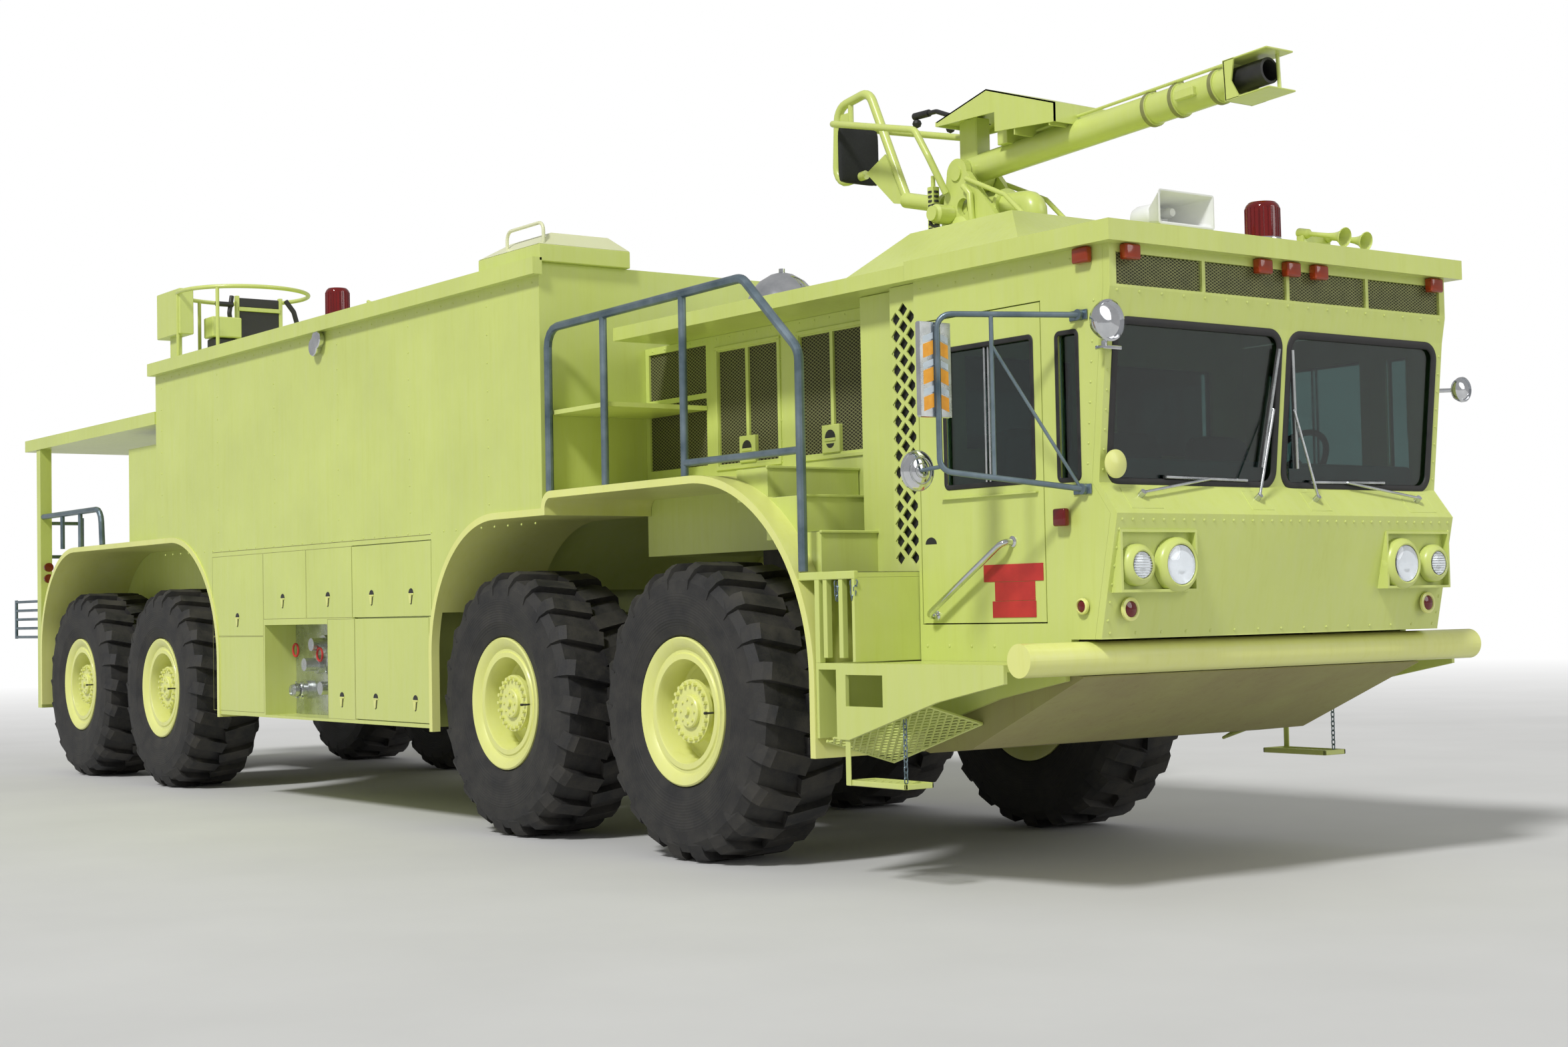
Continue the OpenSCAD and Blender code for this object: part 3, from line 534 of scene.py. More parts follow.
def sideRows(y, rows):
    return [d for x0, z0, x1, z1, pitch, r in rows for d in rivetRow((x0, y, z0), (x1, y, z1), pitch, across, r)]


riveting = {"nose": ((1.652, 0.062, 1.1), (1.166, 0.16, 1.09), (2.636, 0.135, 1.09)),
    "corners": ((1.112, 1.22, 0.078, 6, 0.0075), (1.115, 1.87, 0.085, 8, 0.006)),
    "cab": ((5.6, 1.112, 6.54, 1.112, 0.165, 0.0085), (5.6, 2.795, 6.62, 2.795, 0.12, 0.006),
        (6.7, 1.9, 6.76, 2.6, 0.09, 0.006)),
    "frames": ((3.422, 4.04, 2.092, 2.752), (4.187, 4.803, 2.092, 2.752)),
    "lip": ((2.78, 2.815, 5.0, 2.815, 0.13, 0.006),),
    "tank": [(-3.12, z, 2.62, z, 0.16, 0.007) for z in (1.815, 3.19)]
        + [(x, 1.95, x, 3.12, 0.17, 0.006) for x in (-3.18, -2.05, -1.02, 0.02, 1.06, 2.08)]}
cabRivets = []
for z, pitch, reach in riveting["nose"]:
    x, n = noseAt(z)
    cabRivets += rivetRow((x, -reach, z), (x, reach, z), pitch, n, 0.0075)
for y, low, pitch, count, r in riveting["corners"]:
    for z in [low + k * pitch for k in range(count)]:
        x, n = noseAt(z)
        cabRivets += bothSides([dome((x, y, z), n, r)])
place("cabRivets", cabRivets + bothSides(sideRows(1.135, riveting["cab"])), bodyPaint)
houseRivets = []
for corners in [oblong(*row) for row in riveting["frames"]]:
    for a, b in zip(corners, corners[1:] + corners[:1]):
        houseRivets += rivetRow((a[0], 0.815, a[1]), (b[0], 0.815, b[1]), 0.103, across, 0.006)[:-1]
place("housingRivets", bothSides(houseRivets + sideRows(0.815, riveting["lip"])), bodyPaint)
place("tankRivets", bothSides(sideRows(1.524, riveting["tank"])), bodyPaint)
print("rivets set")

# Finger hole of each door's latch, a thin black plate as painted shade inside the hole
finger = {"x": 5.642, "z": 1.588, "y": 1.1352, "r": 0.0405, "squash": 0.8}
arc = [math.pi * k / 12 for k in range(13)]
half = [(finger["x"] + finger["r"] * math.cos(t), finger["y"],
    finger["z"] + finger["r"] * math.sin(t) * finger["squash"]) for t in arc]
for side, turnOver in doorSides:
    place("doorFingerShade_" + side, turnOver([plate(half, across, 0.0008)]), blackPaint, "cab_door_" + side)


def frameLoop(x0, x1, z0, z1, y, r):
    return [Vector((x0 + a, y, z0 + b)) for a, b in roundedLoop(x1 - x0, z1 - z0, r, 5)]


# Windows: rubbers, sliding panes, ledges, red plates and grab bars
screen = {"foot": (6.765, 0.033, 1.818), "wide": 1.045, "high": 0.694, "round": 0.07, "rubber": 0.019,
    "lean": math.atan2(0.073, 0.715)}
up = Vector((math.sin(screen["lean"]), 0, math.cos(screen["lean"])))
normal = Vector((math.cos(screen["lean"]), 0, -math.sin(screen["lean"])))
edge = roundedLoop(screen["wide"], screen["high"] / math.cos(screen["lean"]), screen["round"], 8)
loop = [Vector(screen["foot"]) - normal * 0.001 + Vector((0, a, 0)) + up * b for a, b in edge]
place("screenRubber", bothSides([tube(loop, screen["rubber"], 10, True, 0.5, normal)]), rubber)
panes = {"vent": (6.52, 6.65, 1.835, 2.48, 1.136, 0.02), "door": (5.76, 6.36, 1.845, 2.487, 1.136, 0.02),
    "rearX": 5.549, "rear": ((-0.85, -0.15), (0.15, 0.85)), "rearLow": 2.05, "rearHigh": 0.45}
place("ventRubber", bothSides([tube(frameLoop(*panes["vent"]), 0.011, 8, True, 0.45, across)]), rubber)
rearPanes = []
for y0, y1 in panes["rear"]:
    loop = [Vector((panes["rearX"], y0 + a, panes["rearLow"] + b))
        for a, b in roundedLoop(y1 - y0, panes["rearHigh"], 0.03, 5)]
    rearPanes.append(tube(loop, 0.012, 8, True, 0.5, ahead))
place("rearPaneRubber", rearPanes, rubber)
door = {"ledge": [(5.735, 1.134, 1.8), (6.385, 1.134, 1.8), (6.385, 1.152, 1.797), (5.735, 1.152, 1.797)],
    "plates": ((6.01, 6.405, 1.402, 1.48), (6.084, 6.35, 1.3155, 1.4005), (6.066, 6.354, 1.24, 1.314)),
    "bends": [(0.0148, 14, 0.04, (6.208, 1.137, 1.58), (6.208, 1.195, 1.58), (5.671, 1.195, 1.252),
        (5.671, 1.137, 1.252))],
    "turned": [([(0.026, -0.001), (0.026, 0.003), (0.02, 0.007), (0.015, 0.008)], (x, 1.135, z), across, 24)
        for x, z in ((6.208, 1.58), (5.671, 1.252))]}
gasket = tube(frameLoop(*panes["door"]), 0.012, 8, True, 0.45, across)
sliders = [softBox((x - 0.006, 1.12, 1.85), (x + 0.006, 1.13, 2.482), 0.002) for x in (6.035, 6.062)]
for side, turnOver in doorSides:
    body = "cab_door_" + side
    place("doorRubber_" + side, turnOver([gasket]), rubber, body)
    place("slidingPaneBars_" + side, turnOver(sliders), satinChrome, body)
    place("windowLedge_" + side, turnOver([plate(door["ledge"], (0, 0, -1), 0.006)]), bodyPaint, body)
    if side == "right":
        red = [softBox((a, -1.1385, c), (b, -1.1345, d), 0.001, 1) for a, b, c, d in door["plates"]]
        place("redPlates", red, placardRed, body)
for side, turnOver in doorSides:
    place("doorGrab_" + side, turnOver(build(door)), chrome, "cab_door_" + side)
print("windows framed")

# Grille under the roof's lip, its wires clipped to each panel
grille = {"z": (2.664, 2.798), "x": 6.8475, "pitch": 0.026, "wire": 0.0018, "slope": 0.55, "shortest": 0.004,
    "panels": ((-1.095, -0.565), (-0.545, -0.01), (0.01, 0.545), (0.565, 1.095))}


def diamondSheet(y0, y1, z0, z1):
    out = []
    span = (z1 - z0) / grille["slope"]
    for sign in (1, -1):
        y = y0 - span if sign > 0 else y0
        while y < (y1 if sign > 0 else y1 + span):
            near, far = ((y0 - y) / span, (y1 - y) / span) if sign > 0 else ((y - y1) / span, (y - y0) / span)
            ends = (max(0, near), min(1, far))
            if (ends[1] - ends[0]) * (z1 - z0) > grille["shortest"]:
                out.append(tube([(grille["x"], y + sign * span * t, z0 + (z1 - z0) * t) for t in ends],
                    grille["wire"], 4))
            y += grille["pitch"]
    return out


wires = [w for y0, y1 in grille["panels"] for w in diamondSheet(y0, y1, *grille["z"])]
place("grilleMesh", wires, grilleWire, smooth=False)
backing = [softBox((6.8385, y0 + 0.002, 2.664), (6.8415, y1 - 0.002, 2.798), 0.001, 1) for y0, y1 in grille["panels"]]
place("grilleBacking", backing, grainMaterial("grilleShade", (0.06, 0.065, 0.03), (0.11, 0.12, 0.05), 9))

# Head lamps: painted bezel, dish, lens and bulb; the outer lens is ribbed
headlamps = {"x": 6.8585, "rows": ((0.763, 1.457, 0.088), (1.001, 1.457, 0.058)), "ribs": 0.0115}
bezels, dishes, lenses, bulbs = [], [], [], []
for y, z, r in headlamps["rows"]:
    at = (headlamps["x"], y, z)
    bezels.append(turned([(r + 0.034, -0.026), (r + 0.032, 0.004), (r + 0.022, 0.018), (r + 0.006, 0.026), (r, 0.024),
        (r - 0.001, 0.004), (r + 0.004, 0.0), (r + 0.01, -0.026)], at, ahead, 48, True))
    dishes.append(turned([(0.004, 0.001), (r * 0.3, 0.002), (r * 0.6, 0.006), (r * 0.85, 0.013), (r - 0.002, 0.02),
        (r - 0.001, 0.0)], at, ahead, 48))
    lenses.append(turned([(r - 0.001, 0.0205), (r * 0.8, 0.026), (r * 0.45, 0.03), (0, 0.0315), (0, 0.029),
        (r * 0.5, 0.0275), (r - 0.003, 0.019)], at, ahead, 48))
    bulbs.append(turned([(r * 0.16, 0.002), (r * 0.15, 0.014), (r * 0.08, 0.019), (0, 0.02)], at, ahead, 16))
place("lampBezels", bothSides(bezels), bodyPaint)
place("lampDishes", bothSides(dishes), chrome)
place("lampLenses", bothSides(lenses), clearGlass)
place("lampBulbs", bothSides(bulbs), satinChrome)
ribs = []
y, z, r = headlamps["rows"][1]
for h in [k * headlamps["ribs"] for k in range(-4, 5)]:
    w = math.sqrt(max(0.0, (r * 0.86) ** 2 - h ** 2))
    ribs.append(tube([(headlamps["x"] + 0.03, y + s * w, z + h) for s in (-1, 1)], 0.0016, 6))
place("ribbedLens", bothSides(ribs), satinChrome)

# Marker lamps on the nose and the sides, reflectors, amber boxes under the roof's lip
markers = (((6.804, 1.006, 1.268), 0.035, ahead,
        ((0.017, -0.004), (0.016, 0.006), (0.004, 0.01), (0, 0.006), (0, -0.002)),
        ((1, 0), (0.96, 0.006), (0.6, 0.011), (0, 0.013))),
    ((6.659, 1.149, 1.284), 0.026, across,
        ((0.01, -0.004), (0.009, 0.008), (0.002, 0.012), (0, 0.008), (0, -0.002)),
        ((1, 0), (0.95, 0.006), (0.6, 0.01), (0, 0.012))))
rims = [turned([(r + a, h) for a, h in line], at, axis, 32, True) for at, r, axis, line, _ in markers]
caps = [turned([(r * a, h) for a, h in line], at, axis, 32) for at, r, axis, _, line in markers]
place("markerRims", bothSides(rims), brightPaint)
place("markerLenses", bothSides(caps), redGlass)
lamps = {"reflector": ((6.521, 1.15, 1.634), (6.597, 1.186, 1.712), 0.01),
    "side": ((6.664, 1.1355, 2.764), (6.76, 1.172, 2.834), 0.01), "lip": (-1.03, -0.19, 0.0, 0.19, 1.03), "half": 0.046}
place("sideReflectors", bothSides([softBox(*lamps["reflector"])]), redGlass)
boxes = [softBox((6.8605, y - lamps["half"], 2.766), (6.905, y + lamps["half"], 2.834), 0.01) for y in lamps["lip"]]
place("lipLamps", boxes + bothSides([softBox(*lamps["side"])]), amberGlass)

# Beacons with fluted domes on the cab and the tank
beacons = {"cab": (6.72, 0.0, 2.9283, 0.206), "tank": (-0.15, -1.435, 3.3003, 0.221)}
domes, feet, flutes = [], [], []
for x, y, z, h in beacons.values():
    dish = [(0.0805, 0.036), (0.08, h - 0.027), (0.0745, h - 0.014), (0.062, h - 0.001), (0.03, h + 0.002),
        (0, h + 0.0025)]
    domes.append(turned(dish, (x, y, z), upright, 48))
    feet.append(turned([(0.0855, 0.0), (0.086, 0.03), (0.083, 0.037), (0.08, 0.037)], (x, y, z), upright, 48))
    for c, s in [(math.cos(a), math.sin(a)) for a in around(24)]:
        ends = [(x + r * c, y + r * s, z + up) for r, up in ((0.0808, 0.042), (0.0802, h - 0.03))]
        flutes.append(tube(ends, 0.0022, 5))
place("beaconDomes", domes, redGlass)
place("beaconFlutes", flutes, redGlass)
place("beaconFeet", feet, chrome)
print("lamps built")

# Loudspeaker horn: a flare of rounded sections, out to its lip and back inside; then two air horns
paHorn = {"at": (6.518, -0.485, 3.061), "throat": (0.049, 0.037), "mouth": (0.175, 0.076), "deep": 0.186,
    "round": 0.012,
    "rows": ((0, 0), (0.25, 0), (0.5, 0), (0.75, 0), (0.97, 0), (1.0, 0.004), (1.02, 0.003), (1.02, -0.004),
        (0.97, -0.011), (0.7, -0.0105), (0.4, -0.0095), (0.1, -0.008)),
    "bracket": ((6.436, -0.529, 2.929), (6.504, -0.441, 3.012), 0.006)}
hx, hy, hz = paHorn["at"]
flare = []
for t, lip in paHorn["rows"]:
    w, h = [a + (b - a) * min(t, 1) + lip for a, b in zip(paHorn["throat"], paHorn["mouth"])]
    x = hx - 0.002 + t * paHorn["deep"]
    flare.append([(x, hy - w + a, hz - h + b) for a, b in roundedLoop(2 * w, 2 * h, paHorn["round"], 4)])
driver = turned([(0.03, -0.125), (0.052, -0.118), (0.058, -0.1), (0.058, -0.012), (0.05, 0.0)], paHorn["at"], ahead, 40)
phase = turned([(0.018, 0.03), (0.026, 0.075), (0.018, 0.1), (0, 0.108)], paHorn["at"], ahead, 24)
place("loudHorn", [loft(flare), driver, phase, softBox(*paHorn["bracket"])], whiteHorn)
airHorns = {"mouth": ((6.82, 0.45, 2.997), (6.82, 0.603, 2.989)), "long": 0.275, "axis": (0.97553, 0, -0.21985),
    "bracket": ((6.553, 0.425, 2.929), (6.595, 0.628, 3.039), 0.006),
    "line": [(0.0, -0.003), (0.0215, -0.003), (0.0225, 0.004), (0.0225, 0.058), (0.018, 0.0635), (0.0112, 0.069),
        (0.0112, 0.12), (0.0125, 0.18), (0.0165, 0.215), (0.023, 0.24), (0.033, 0.262), (0.0455, 0.277), (0.047, 0.281),
        (0.0445, 0.283), (0.036, 0.27), (0.0168, 0.2403), (0.0, 0.205)]}
feet = [Vector(m) - Vector(airHorns["axis"]) * airHorns["long"] for m in airHorns["mouth"]]
trumpets = [turned(airHorns["line"], foot, airHorns["axis"], 36) for foot in feet]
place("airHorns", trumpets + [softBox(*airHorns["bracket"])], bodyPaint)
print("horns built")

# Mirror plates with their chevrons, and the mirror glasses
mirror = {"x": 6.3085, "y": (1.56, 1.742), "z": (2.11, 2.53), "rows": (2.205, 2.32, 2.435), "round": (6.2, 1.68, 1.887),
    "bold": (0.012, -0.008, -0.068, -0.048), "pale": (0.046, 0.026, -0.001, 0.019), "spread": (0.014, 0.07),
    "rings": ((0.082, 0.012), (0.055, 0.033), (0.026, 0.0385))}
(y0, y1), (z0, z1), front = mirror["y"], mirror["z"], mirror["x"] + 0.003
mid = (y0 + y1) / 2


def chevronBand(rises, t):
    out = []
    for z in mirror["rows"]:
        for s in (-1, 1):
            a, b = [mid + s * d for d in mirror["spread"]]
            out.append(plate([(front, y, z + h) for y, h in zip((a, b, b, a), rises)], ahead, t))
    return out


face = [softBox((mirror["x"], y0 + 0.004, z0 + 0.004), (front, y1 - 0.004, z1 - 0.004), 0.001, 1)]
place("mirrorPlates", bothSides(face), satinChrome)
place("mirrorChevrons", bothSides(chevronBand(mirror["bold"], 0.0012)), chevronOrange, smooth=False)
paleBand = grainMaterial("paleBand", (0.5, 0.58, 0.66), (0.62, 0.7, 0.76), 20)
place("mirrorPaleBands", bothSides(chevronBand(mirror["pale"], 0.0008)), paleBand, smooth=False)
silver, silverTree, silverShader = newMaterial("mirrorGlass", Metallic=1.0)
haze = rangeNode(silverTree, noiseNode(silverTree, objectSpace(silverTree), 5.0), 0.3, 0.8, 0.01, 0.05)
silverTree.links.new(haze, silverShader.inputs["Roughness"])
silverShader.inputs["Base Color"].default_value = (0.86, 0.88, 0.89, 1)
glassFaces = [softBox((6.2725, y0 + 0.012, z0 + 0.014), (6.2765, y1 - 0.012, z1 - 0.014), 0.001, 1),
    turned([(0.08, 0.0), (0.074, -0.006), (0.05, -0.011), (0, -0.014)], mirror["round"], ahead, 40)]
place("mirrorGlass", bothSides(glassFaces), silver)
ringRows = [turned([(r, h), (r + 0.004, h + 0.003), (r + 0.008, h)], mirror["round"], ahead, 40, True)
    for r, h in mirror["rings"]]
place("mirrorRings", bothSides(ringRows), satinChrome)
bolts = [dome((front, mid, z), ahead, 0.007, 0.005, 10) for z in (z0 + 0.02, z1 - 0.02)]
place("mirrorBolts", bothSides(bolts), chrome)

# Wiper rubbers, and the pockets under the screens
wipers = {"rubbers": (((0.045, 2.44), (0.12, 1.9)), ((0.742, 1.845), (0.219, 1.839))),
    "pockets": ((0.198, 0.07), (0.934, 0.095)), "pocketZ": (1.703, 1.79)}
blades = []
for ends in wipers["rubbers"]:
    blades.append(tube([onNose(y, z, 0.0005) for y, z in ends], 0.0085, 8, False, 0.8, noseAt(ends[0][1])[1]))
place("wiperSpines", bothSides(blades), blackPaint)
pockets = []
(xa, na), (xb, nb) = [noseAt(z) for z in wipers["pocketZ"]]
low, high = wipers["pocketZ"]
n = (na + nb).normalized()
for y, half in wipers["pockets"]:
    line = [Vector(p) for p in ((xa, y - half, low), (xa, y + half, low), (xb, y + half, high), (xb, y - half, high))]
    pockets.append(tube([p - n * 0.001 for p in line], 0.005, 8, True, 0.7, n))
    pockets.append(plate([p + n * 0.0006 for p in line], n, 0.0006))
place("wiperPockets", bothSides(pockets), bodyPaint)
print("mirrors and wipers built")

# Inside the cab: seats, dashboard, dials, steering wheel and levers
seat = {"places": (-0.64, 0.64, 0.0), "x": 6.06, "floor": 1.181, "half": 0.215, "crown": 0.022}


# Stuffed pad: a box of many faces whose sides pull in and whose top crowns
def pad(low, high, up, crown, pull=0.16, cuts=10):
    bm = bmesh.new()
    bmesh.ops.create_cube(bm, size=2.0)
    bmesh.ops.subdivide_edges(bm, edges=list(bm.edges), cuts=cuts, use_grid_fill=True)
    lo, hi = Vector(low), Vector(high)
    c, half = (lo + hi) / 2, (hi - lo) / 2
    for v in bm.verts:
        p = v.co.copy()
        q = [p[i] * (1 - pull * (abs(p[(i + 1) % 3]) ** 6 + abs(p[(i + 2) % 3]) ** 6) / 2) for i in range(3)]
        a, b = [i for i in range(3) if i != up]
        swell = (1 - p[a] ** 2) * (1 - p[b] ** 2)
        q[up] += math.copysign(crown / half[up] * swell, p[up]) if abs(p[up]) > 0.99 else 0.0
        seam = math.exp(-((p[b]) / 0.045) ** 2) * 0.35
        q[up] -= math.copysign(crown / half[up] * seam * swell, p[up]) if abs(p[up]) > 0.99 else 0.0
        v.co = c + Vector([q[i] * half[i] for i in range(3)])
    bmesh.ops.smooth_vert(bm, verts=list(bm.verts), factor=0.5, use_axis_x=True, use_axis_y=True, use_axis_z=True)
    return shapeOf(bm)


def leanBack(shape, foot, angle):
    turn = Matrix.Rotation(angle, 4, "Y")
    f = Vector(foot)
    return [f + turn @ (Vector(v) - f) for v in shape[0]], shape[1]


pedestals, padding = [], []
for n, y in enumerate(seat["places"]):
    x, f, w = seat["x"], seat["floor"], seat["half"]
    base = place(f"seatCushion_{n}", [pad((x - 0.235, y - w, f + 0.245), (x + 0.245, y + w, f + 0.355), 2,
        seat["crown"])], vinyl)
    back = leanBack(pad((x - 0.285, y - w + 0.01, f + 0.36), (x - 0.175, y + w - 0.01, f + 0.955), 0, seat["crown"]),
        (x - 0.2, y, f + 0.36), -0.05)
    rest = place(f"seatBack_{n}", [back], vinyl)
    padding += [base, rest]
    pedestals.append(softBox((x - 0.16, y - 0.16, f), (x + 0.18, y + 0.16, f + 0.25), 0.012))
    pedestals.append(softBox((x - 0.285, y - 0.05, f + 0.2), (x - 0.245, y + 0.05, f + 0.75), 0.012))
place("seatPedestals", pedestals, blackPaint)
dash = (((6.48, -1.06, 1.735), (6.69, 1.06, 1.881), 0.03, 4), ((6.5, -1.06, 1.681), (6.69, 1.06, 1.76), 0.02),
    ((6.56, -1.06, 1.181), (6.69, 1.06, 1.69), 0.015), ((6.465, 0.4, 1.76), (6.56, 0.88, 1.905), 0.03, 4),
    ((6.6, -1.06, 1.8), (6.692, 1.06, 1.935), 0.025, 4))
board = place("dashboard", [softBox(*row) for row in dash], dashPaint)
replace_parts(board, "cab_interior")
dials, bezel = [], []
for y, z, r in ((0.5, 1.835, 0.045), (0.64, 1.835, 0.055), (0.78, 1.835, 0.045), (0.3, 1.8, 0.028), (0.22, 1.8, 0.028),
    (0.14, 1.8, 0.028)):
    x = 6.464 if y > 0.4 else 6.479
    dials.append(turned([(r * 0.9, 0.0), (r * 0.9, -0.003), (0, -0.004)], (x, y, z), ahead, 28))
    bezel.append(turned([(r * 0.88, -0.002), (r * 0.9, -0.008), (r, -0.008), (r * 1.04, 0.001)], (x, y, z), ahead,
        28, True))
place("dialFaces", dials, blackPaint)
place("dialRims", bezel, chrome)

wheelRim = {"at": (6.29, 0.64, 1.941), "radius": 0.215, "lean": -52}
turn = Matrix.Rotation(math.radians(wheelRim["lean"]), 4, "Y")
hub = Vector(wheelRim["at"])
loop = [hub + turn @ Vector((wheelRim["radius"] * math.cos(a), wheelRim["radius"] * math.sin(a), 0))
    for a in around(40)]
axis = turn @ Vector((0, 0, 1))
steering = [tube(loop, 0.0155, 10, True), turned([(0.0, -0.014), (0.06, -0.012), (0.06, 0.004), (0.045, 0.014),
    (0, 0.016)], hub, axis, 28)]
for deg in (90, 210, 330):
    a = math.radians(deg)
    steering.append(tube([hub + turn @ Vector((0.04 * math.cos(a), 0.04 * math.sin(a), 0)),
        hub + turn @ Vector((0.21 * math.cos(a), 0.21 * math.sin(a), 0))], 0.01, 8, False, 0.6, axis))
steering.append(tube([hub, (6.52, 0.64, 1.781)], 0.027, 14))
place("steeringWheel", steering, rubber)
levers = []
for y in (-0.28, -0.21, -0.14):
    levers.append(tube([(6.3, y, 1.181), (6.33, y, 1.62), (6.3, y, 1.68)], 0.01, 8))
    levers.append(turned([(0, -0.02), (0.018, -0.012), (0.022, 0.0), (0.018, 0.012), (0, 0.018)], (6.3, y, 1.69),
        upright, 16))
place("floorLevers", levers, blackPaint)
print("cab fitted out")

# Front turret's plateau and pedestal on the roof, and the foot of the rear turret
turret = {"x": 4.72, "z": 3.6, "plateau": 3.265}
plateau = {"foot": (4.35, 5.95, -0.8, 0.8), "top": (4.655, 5.45, -0.4, 0.4), "heights": (2.93, 3.265),
    "turned": [([(0.34, 0), (0.34, 0.05), (0.315, 0.07), (0.315, 0.334)], (4.72, 0, 2.93), upright, 64)],
    "discs": [(0.34, 0, 0.058, (-2.35, 0, 3.302), upright, 64)]}
bases = [frustumBox(plateau["foot"], plateau["top"], *plateau["heights"])] + build(plateau)
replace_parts(place("turretPlateau", bases, bodyPaint), "turret_bases")

# Turning table with the supply elbow between two pierced cheeks, their springs and hoses
table = {"turned": [([(0.31, 0), (0.31, 0.022), (0.17, 0.026), (0.13, 0.1), (0, 0.1)], (4.72, 0, 3.267), upright, 64)],
    "blocks": [((4.72, -0.165, 3.268), (5.3, 0.165, 3.29))],
    "bends": [(0.07, 24, 0.05, (5.16, 0, 3.285), (5.215, 0, 3.375), (5.02, 0, 3.392), (4.76, 0, 3.4))],
    "discs": [(0.095, 0, 0.024, (4.965, 0, 3.394), ahead, 32), (0.085, 0, 0.05, (4.7, 0, 3.4), (1, 0, 0.03), 32)]}
cheek = {"line": [(4.58, 3.288), (5.06, 3.288), (4.8, 3.6)] + ringLoop(4.72, 3.6, 0.08, 5, 175, 20) + [(4.64, 3.6)],
    "hole": ringLoop(4.765, 3.415, 0.046), "faces": (0.09, 0.126),
    "bars": [(0.013, 12, (5.265, 0.146, 3.289), (5.12, 0.146, 3.42), (4.8, 0.13, 3.56)),
        (0.012, 12, (4.524, 0.124, 3.55), (4.524, 0.124, 3.62)),
        (0.018, 12, (4.85, 0.135, 3.3), (4.85, 0.15, 3.47), (4.79, 0.14, 3.52))],
    "turned": [([(0.052, 0), (0.052, 0.1), (0.04, 0.115), (0.04, 0.13)], (4.66, 0.128, 3.385), across, 24)],
    "blocks": [((4.5, 0.1, 3.29), (4.548, 0.148, 3.56))]}
yoke = build(table) + bothSides([sideSheet([cheek["line"], cheek["hole"]], *cheek["faces"])] + build(cheek))
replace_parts(place("frontYoke", yoke, bodyPaint, "turret_front"), "turret_front_mount")
spring = {"x": 4.524, "y": 0.124, "low": 3.3, "pitch": 0.025, "thick": 0.012, "r": 0.03, "turns": 10}
gear = {"bends": [(0.009, 8, 0.03, (4.62, 0.18, 3.44), (4.62, 0.23, 3.44), (4.62, 0.23, 3.33), (4.72, 0.23, 3.295))],
    "bars": [(spring["r"], 10, (spring["x"], spring["y"], z), (spring["x"], spring["y"], z + spring["thick"]))
        for z in [spring["low"] + spring["pitch"] * k for k in range(spring["turns"])]]}
place("frontYokeGear", bothSides(build(gear)), blackPaint, "turret_front")


def atCage(x, z):
    return Vector((5 + x, 0, turret["plateau"] + z))


# Operator's guard: arm with a flange, bent hoop and rail, gusset, back panel and sling
armFoot, elbow = Vector((4.72, 0, 3.42)), atCage(-0.857, 0.297)
hoop = [atCage(*p) for p in ((-0.85, 0.31), (-1.166, 0.97), (-1.453, 0.93), (-1.48, 0.485), (-1.21, 0.5))]
rail = [(4.66, 0.15, 3.5), (4.61, 0.226, 3.7), (4.5, 0.226, 3.865), (3.697, 0.19, 4.055)]
guard = {"bars": [(0.043, 24, armFoot, elbow), (0.016, 14, atCage(-1.338, 0.495), atCage(-1.338, 0.94))],
    "bends": [(0.026, 20, 0.09, *hoop), (0.019, 16, 0.07, *[(x, -y, z) for x, y, z in rail], *rail[::-1])],
    "turned": [([(0.064, 0), (0.064, 0.014), (0.06, 0.015), (0.064, 0.016), (0.064, 0.03)], (4.5, 0, 3.4742),
        elbow - armFoot, 32)],
    "blocks": [((3.53, -0.006, 3.87), (3.655, 0.006, 4.15))]}
gusset = [(p.x, p.z) for p in [atCage(*q) for q in ((-0.857, 0.275), (-0.9, 0.335), (-1.028, 0.585), (-1.2, 0.505),
    (-0.96, 0.295))]]
place("frontGuard", build(guard) + [sideSheet([gusset], -0.005, 0.005)], bodyPaint, "turret_front")
sling = {"panel": ((3.717, -0.13, 3.725), (3.729, 0.13, 4.043)), "pad": ((3.706, -0.138, 3.722), (3.742, 0.138, 4.046)),
    "crown": 0.01, "pull": 0.08, "strap": ((3.699, 0.063, 3.98), (3.7065, 0.107, 4.072), 0.002)}
place("guardPanel", [block(*sling["panel"])], blackPaint, "turret_front")
cloth = [pad(*sling["pad"], 0, sling["crown"], sling["pull"])]
place("backSling", cloth, slingCloth, "turret_front")
place("slingStraps", bothSides([softBox(*sling["strap"])]), slingCloth, "turret_front")

# Barrel in its own frame, 3 degrees nose up, with the clamps, square nozzle box and hood
nozzle = {"foot": (5.1, 0, 3.65), "tilt": 3, "clamps": (0.95, 1.132, 1.388)}
tip = Matrix.Rotation(math.radians(-nozzle["tilt"]), 4, "Y")


def alongBarrel(x, y=0.0, z=0.0):
    return Vector(nozzle["foot"]) + tip @ Vector((x, y, z))


def onBarrel(shape):
    return [alongBarrel(*v) for v in shape[0]], shape[1]


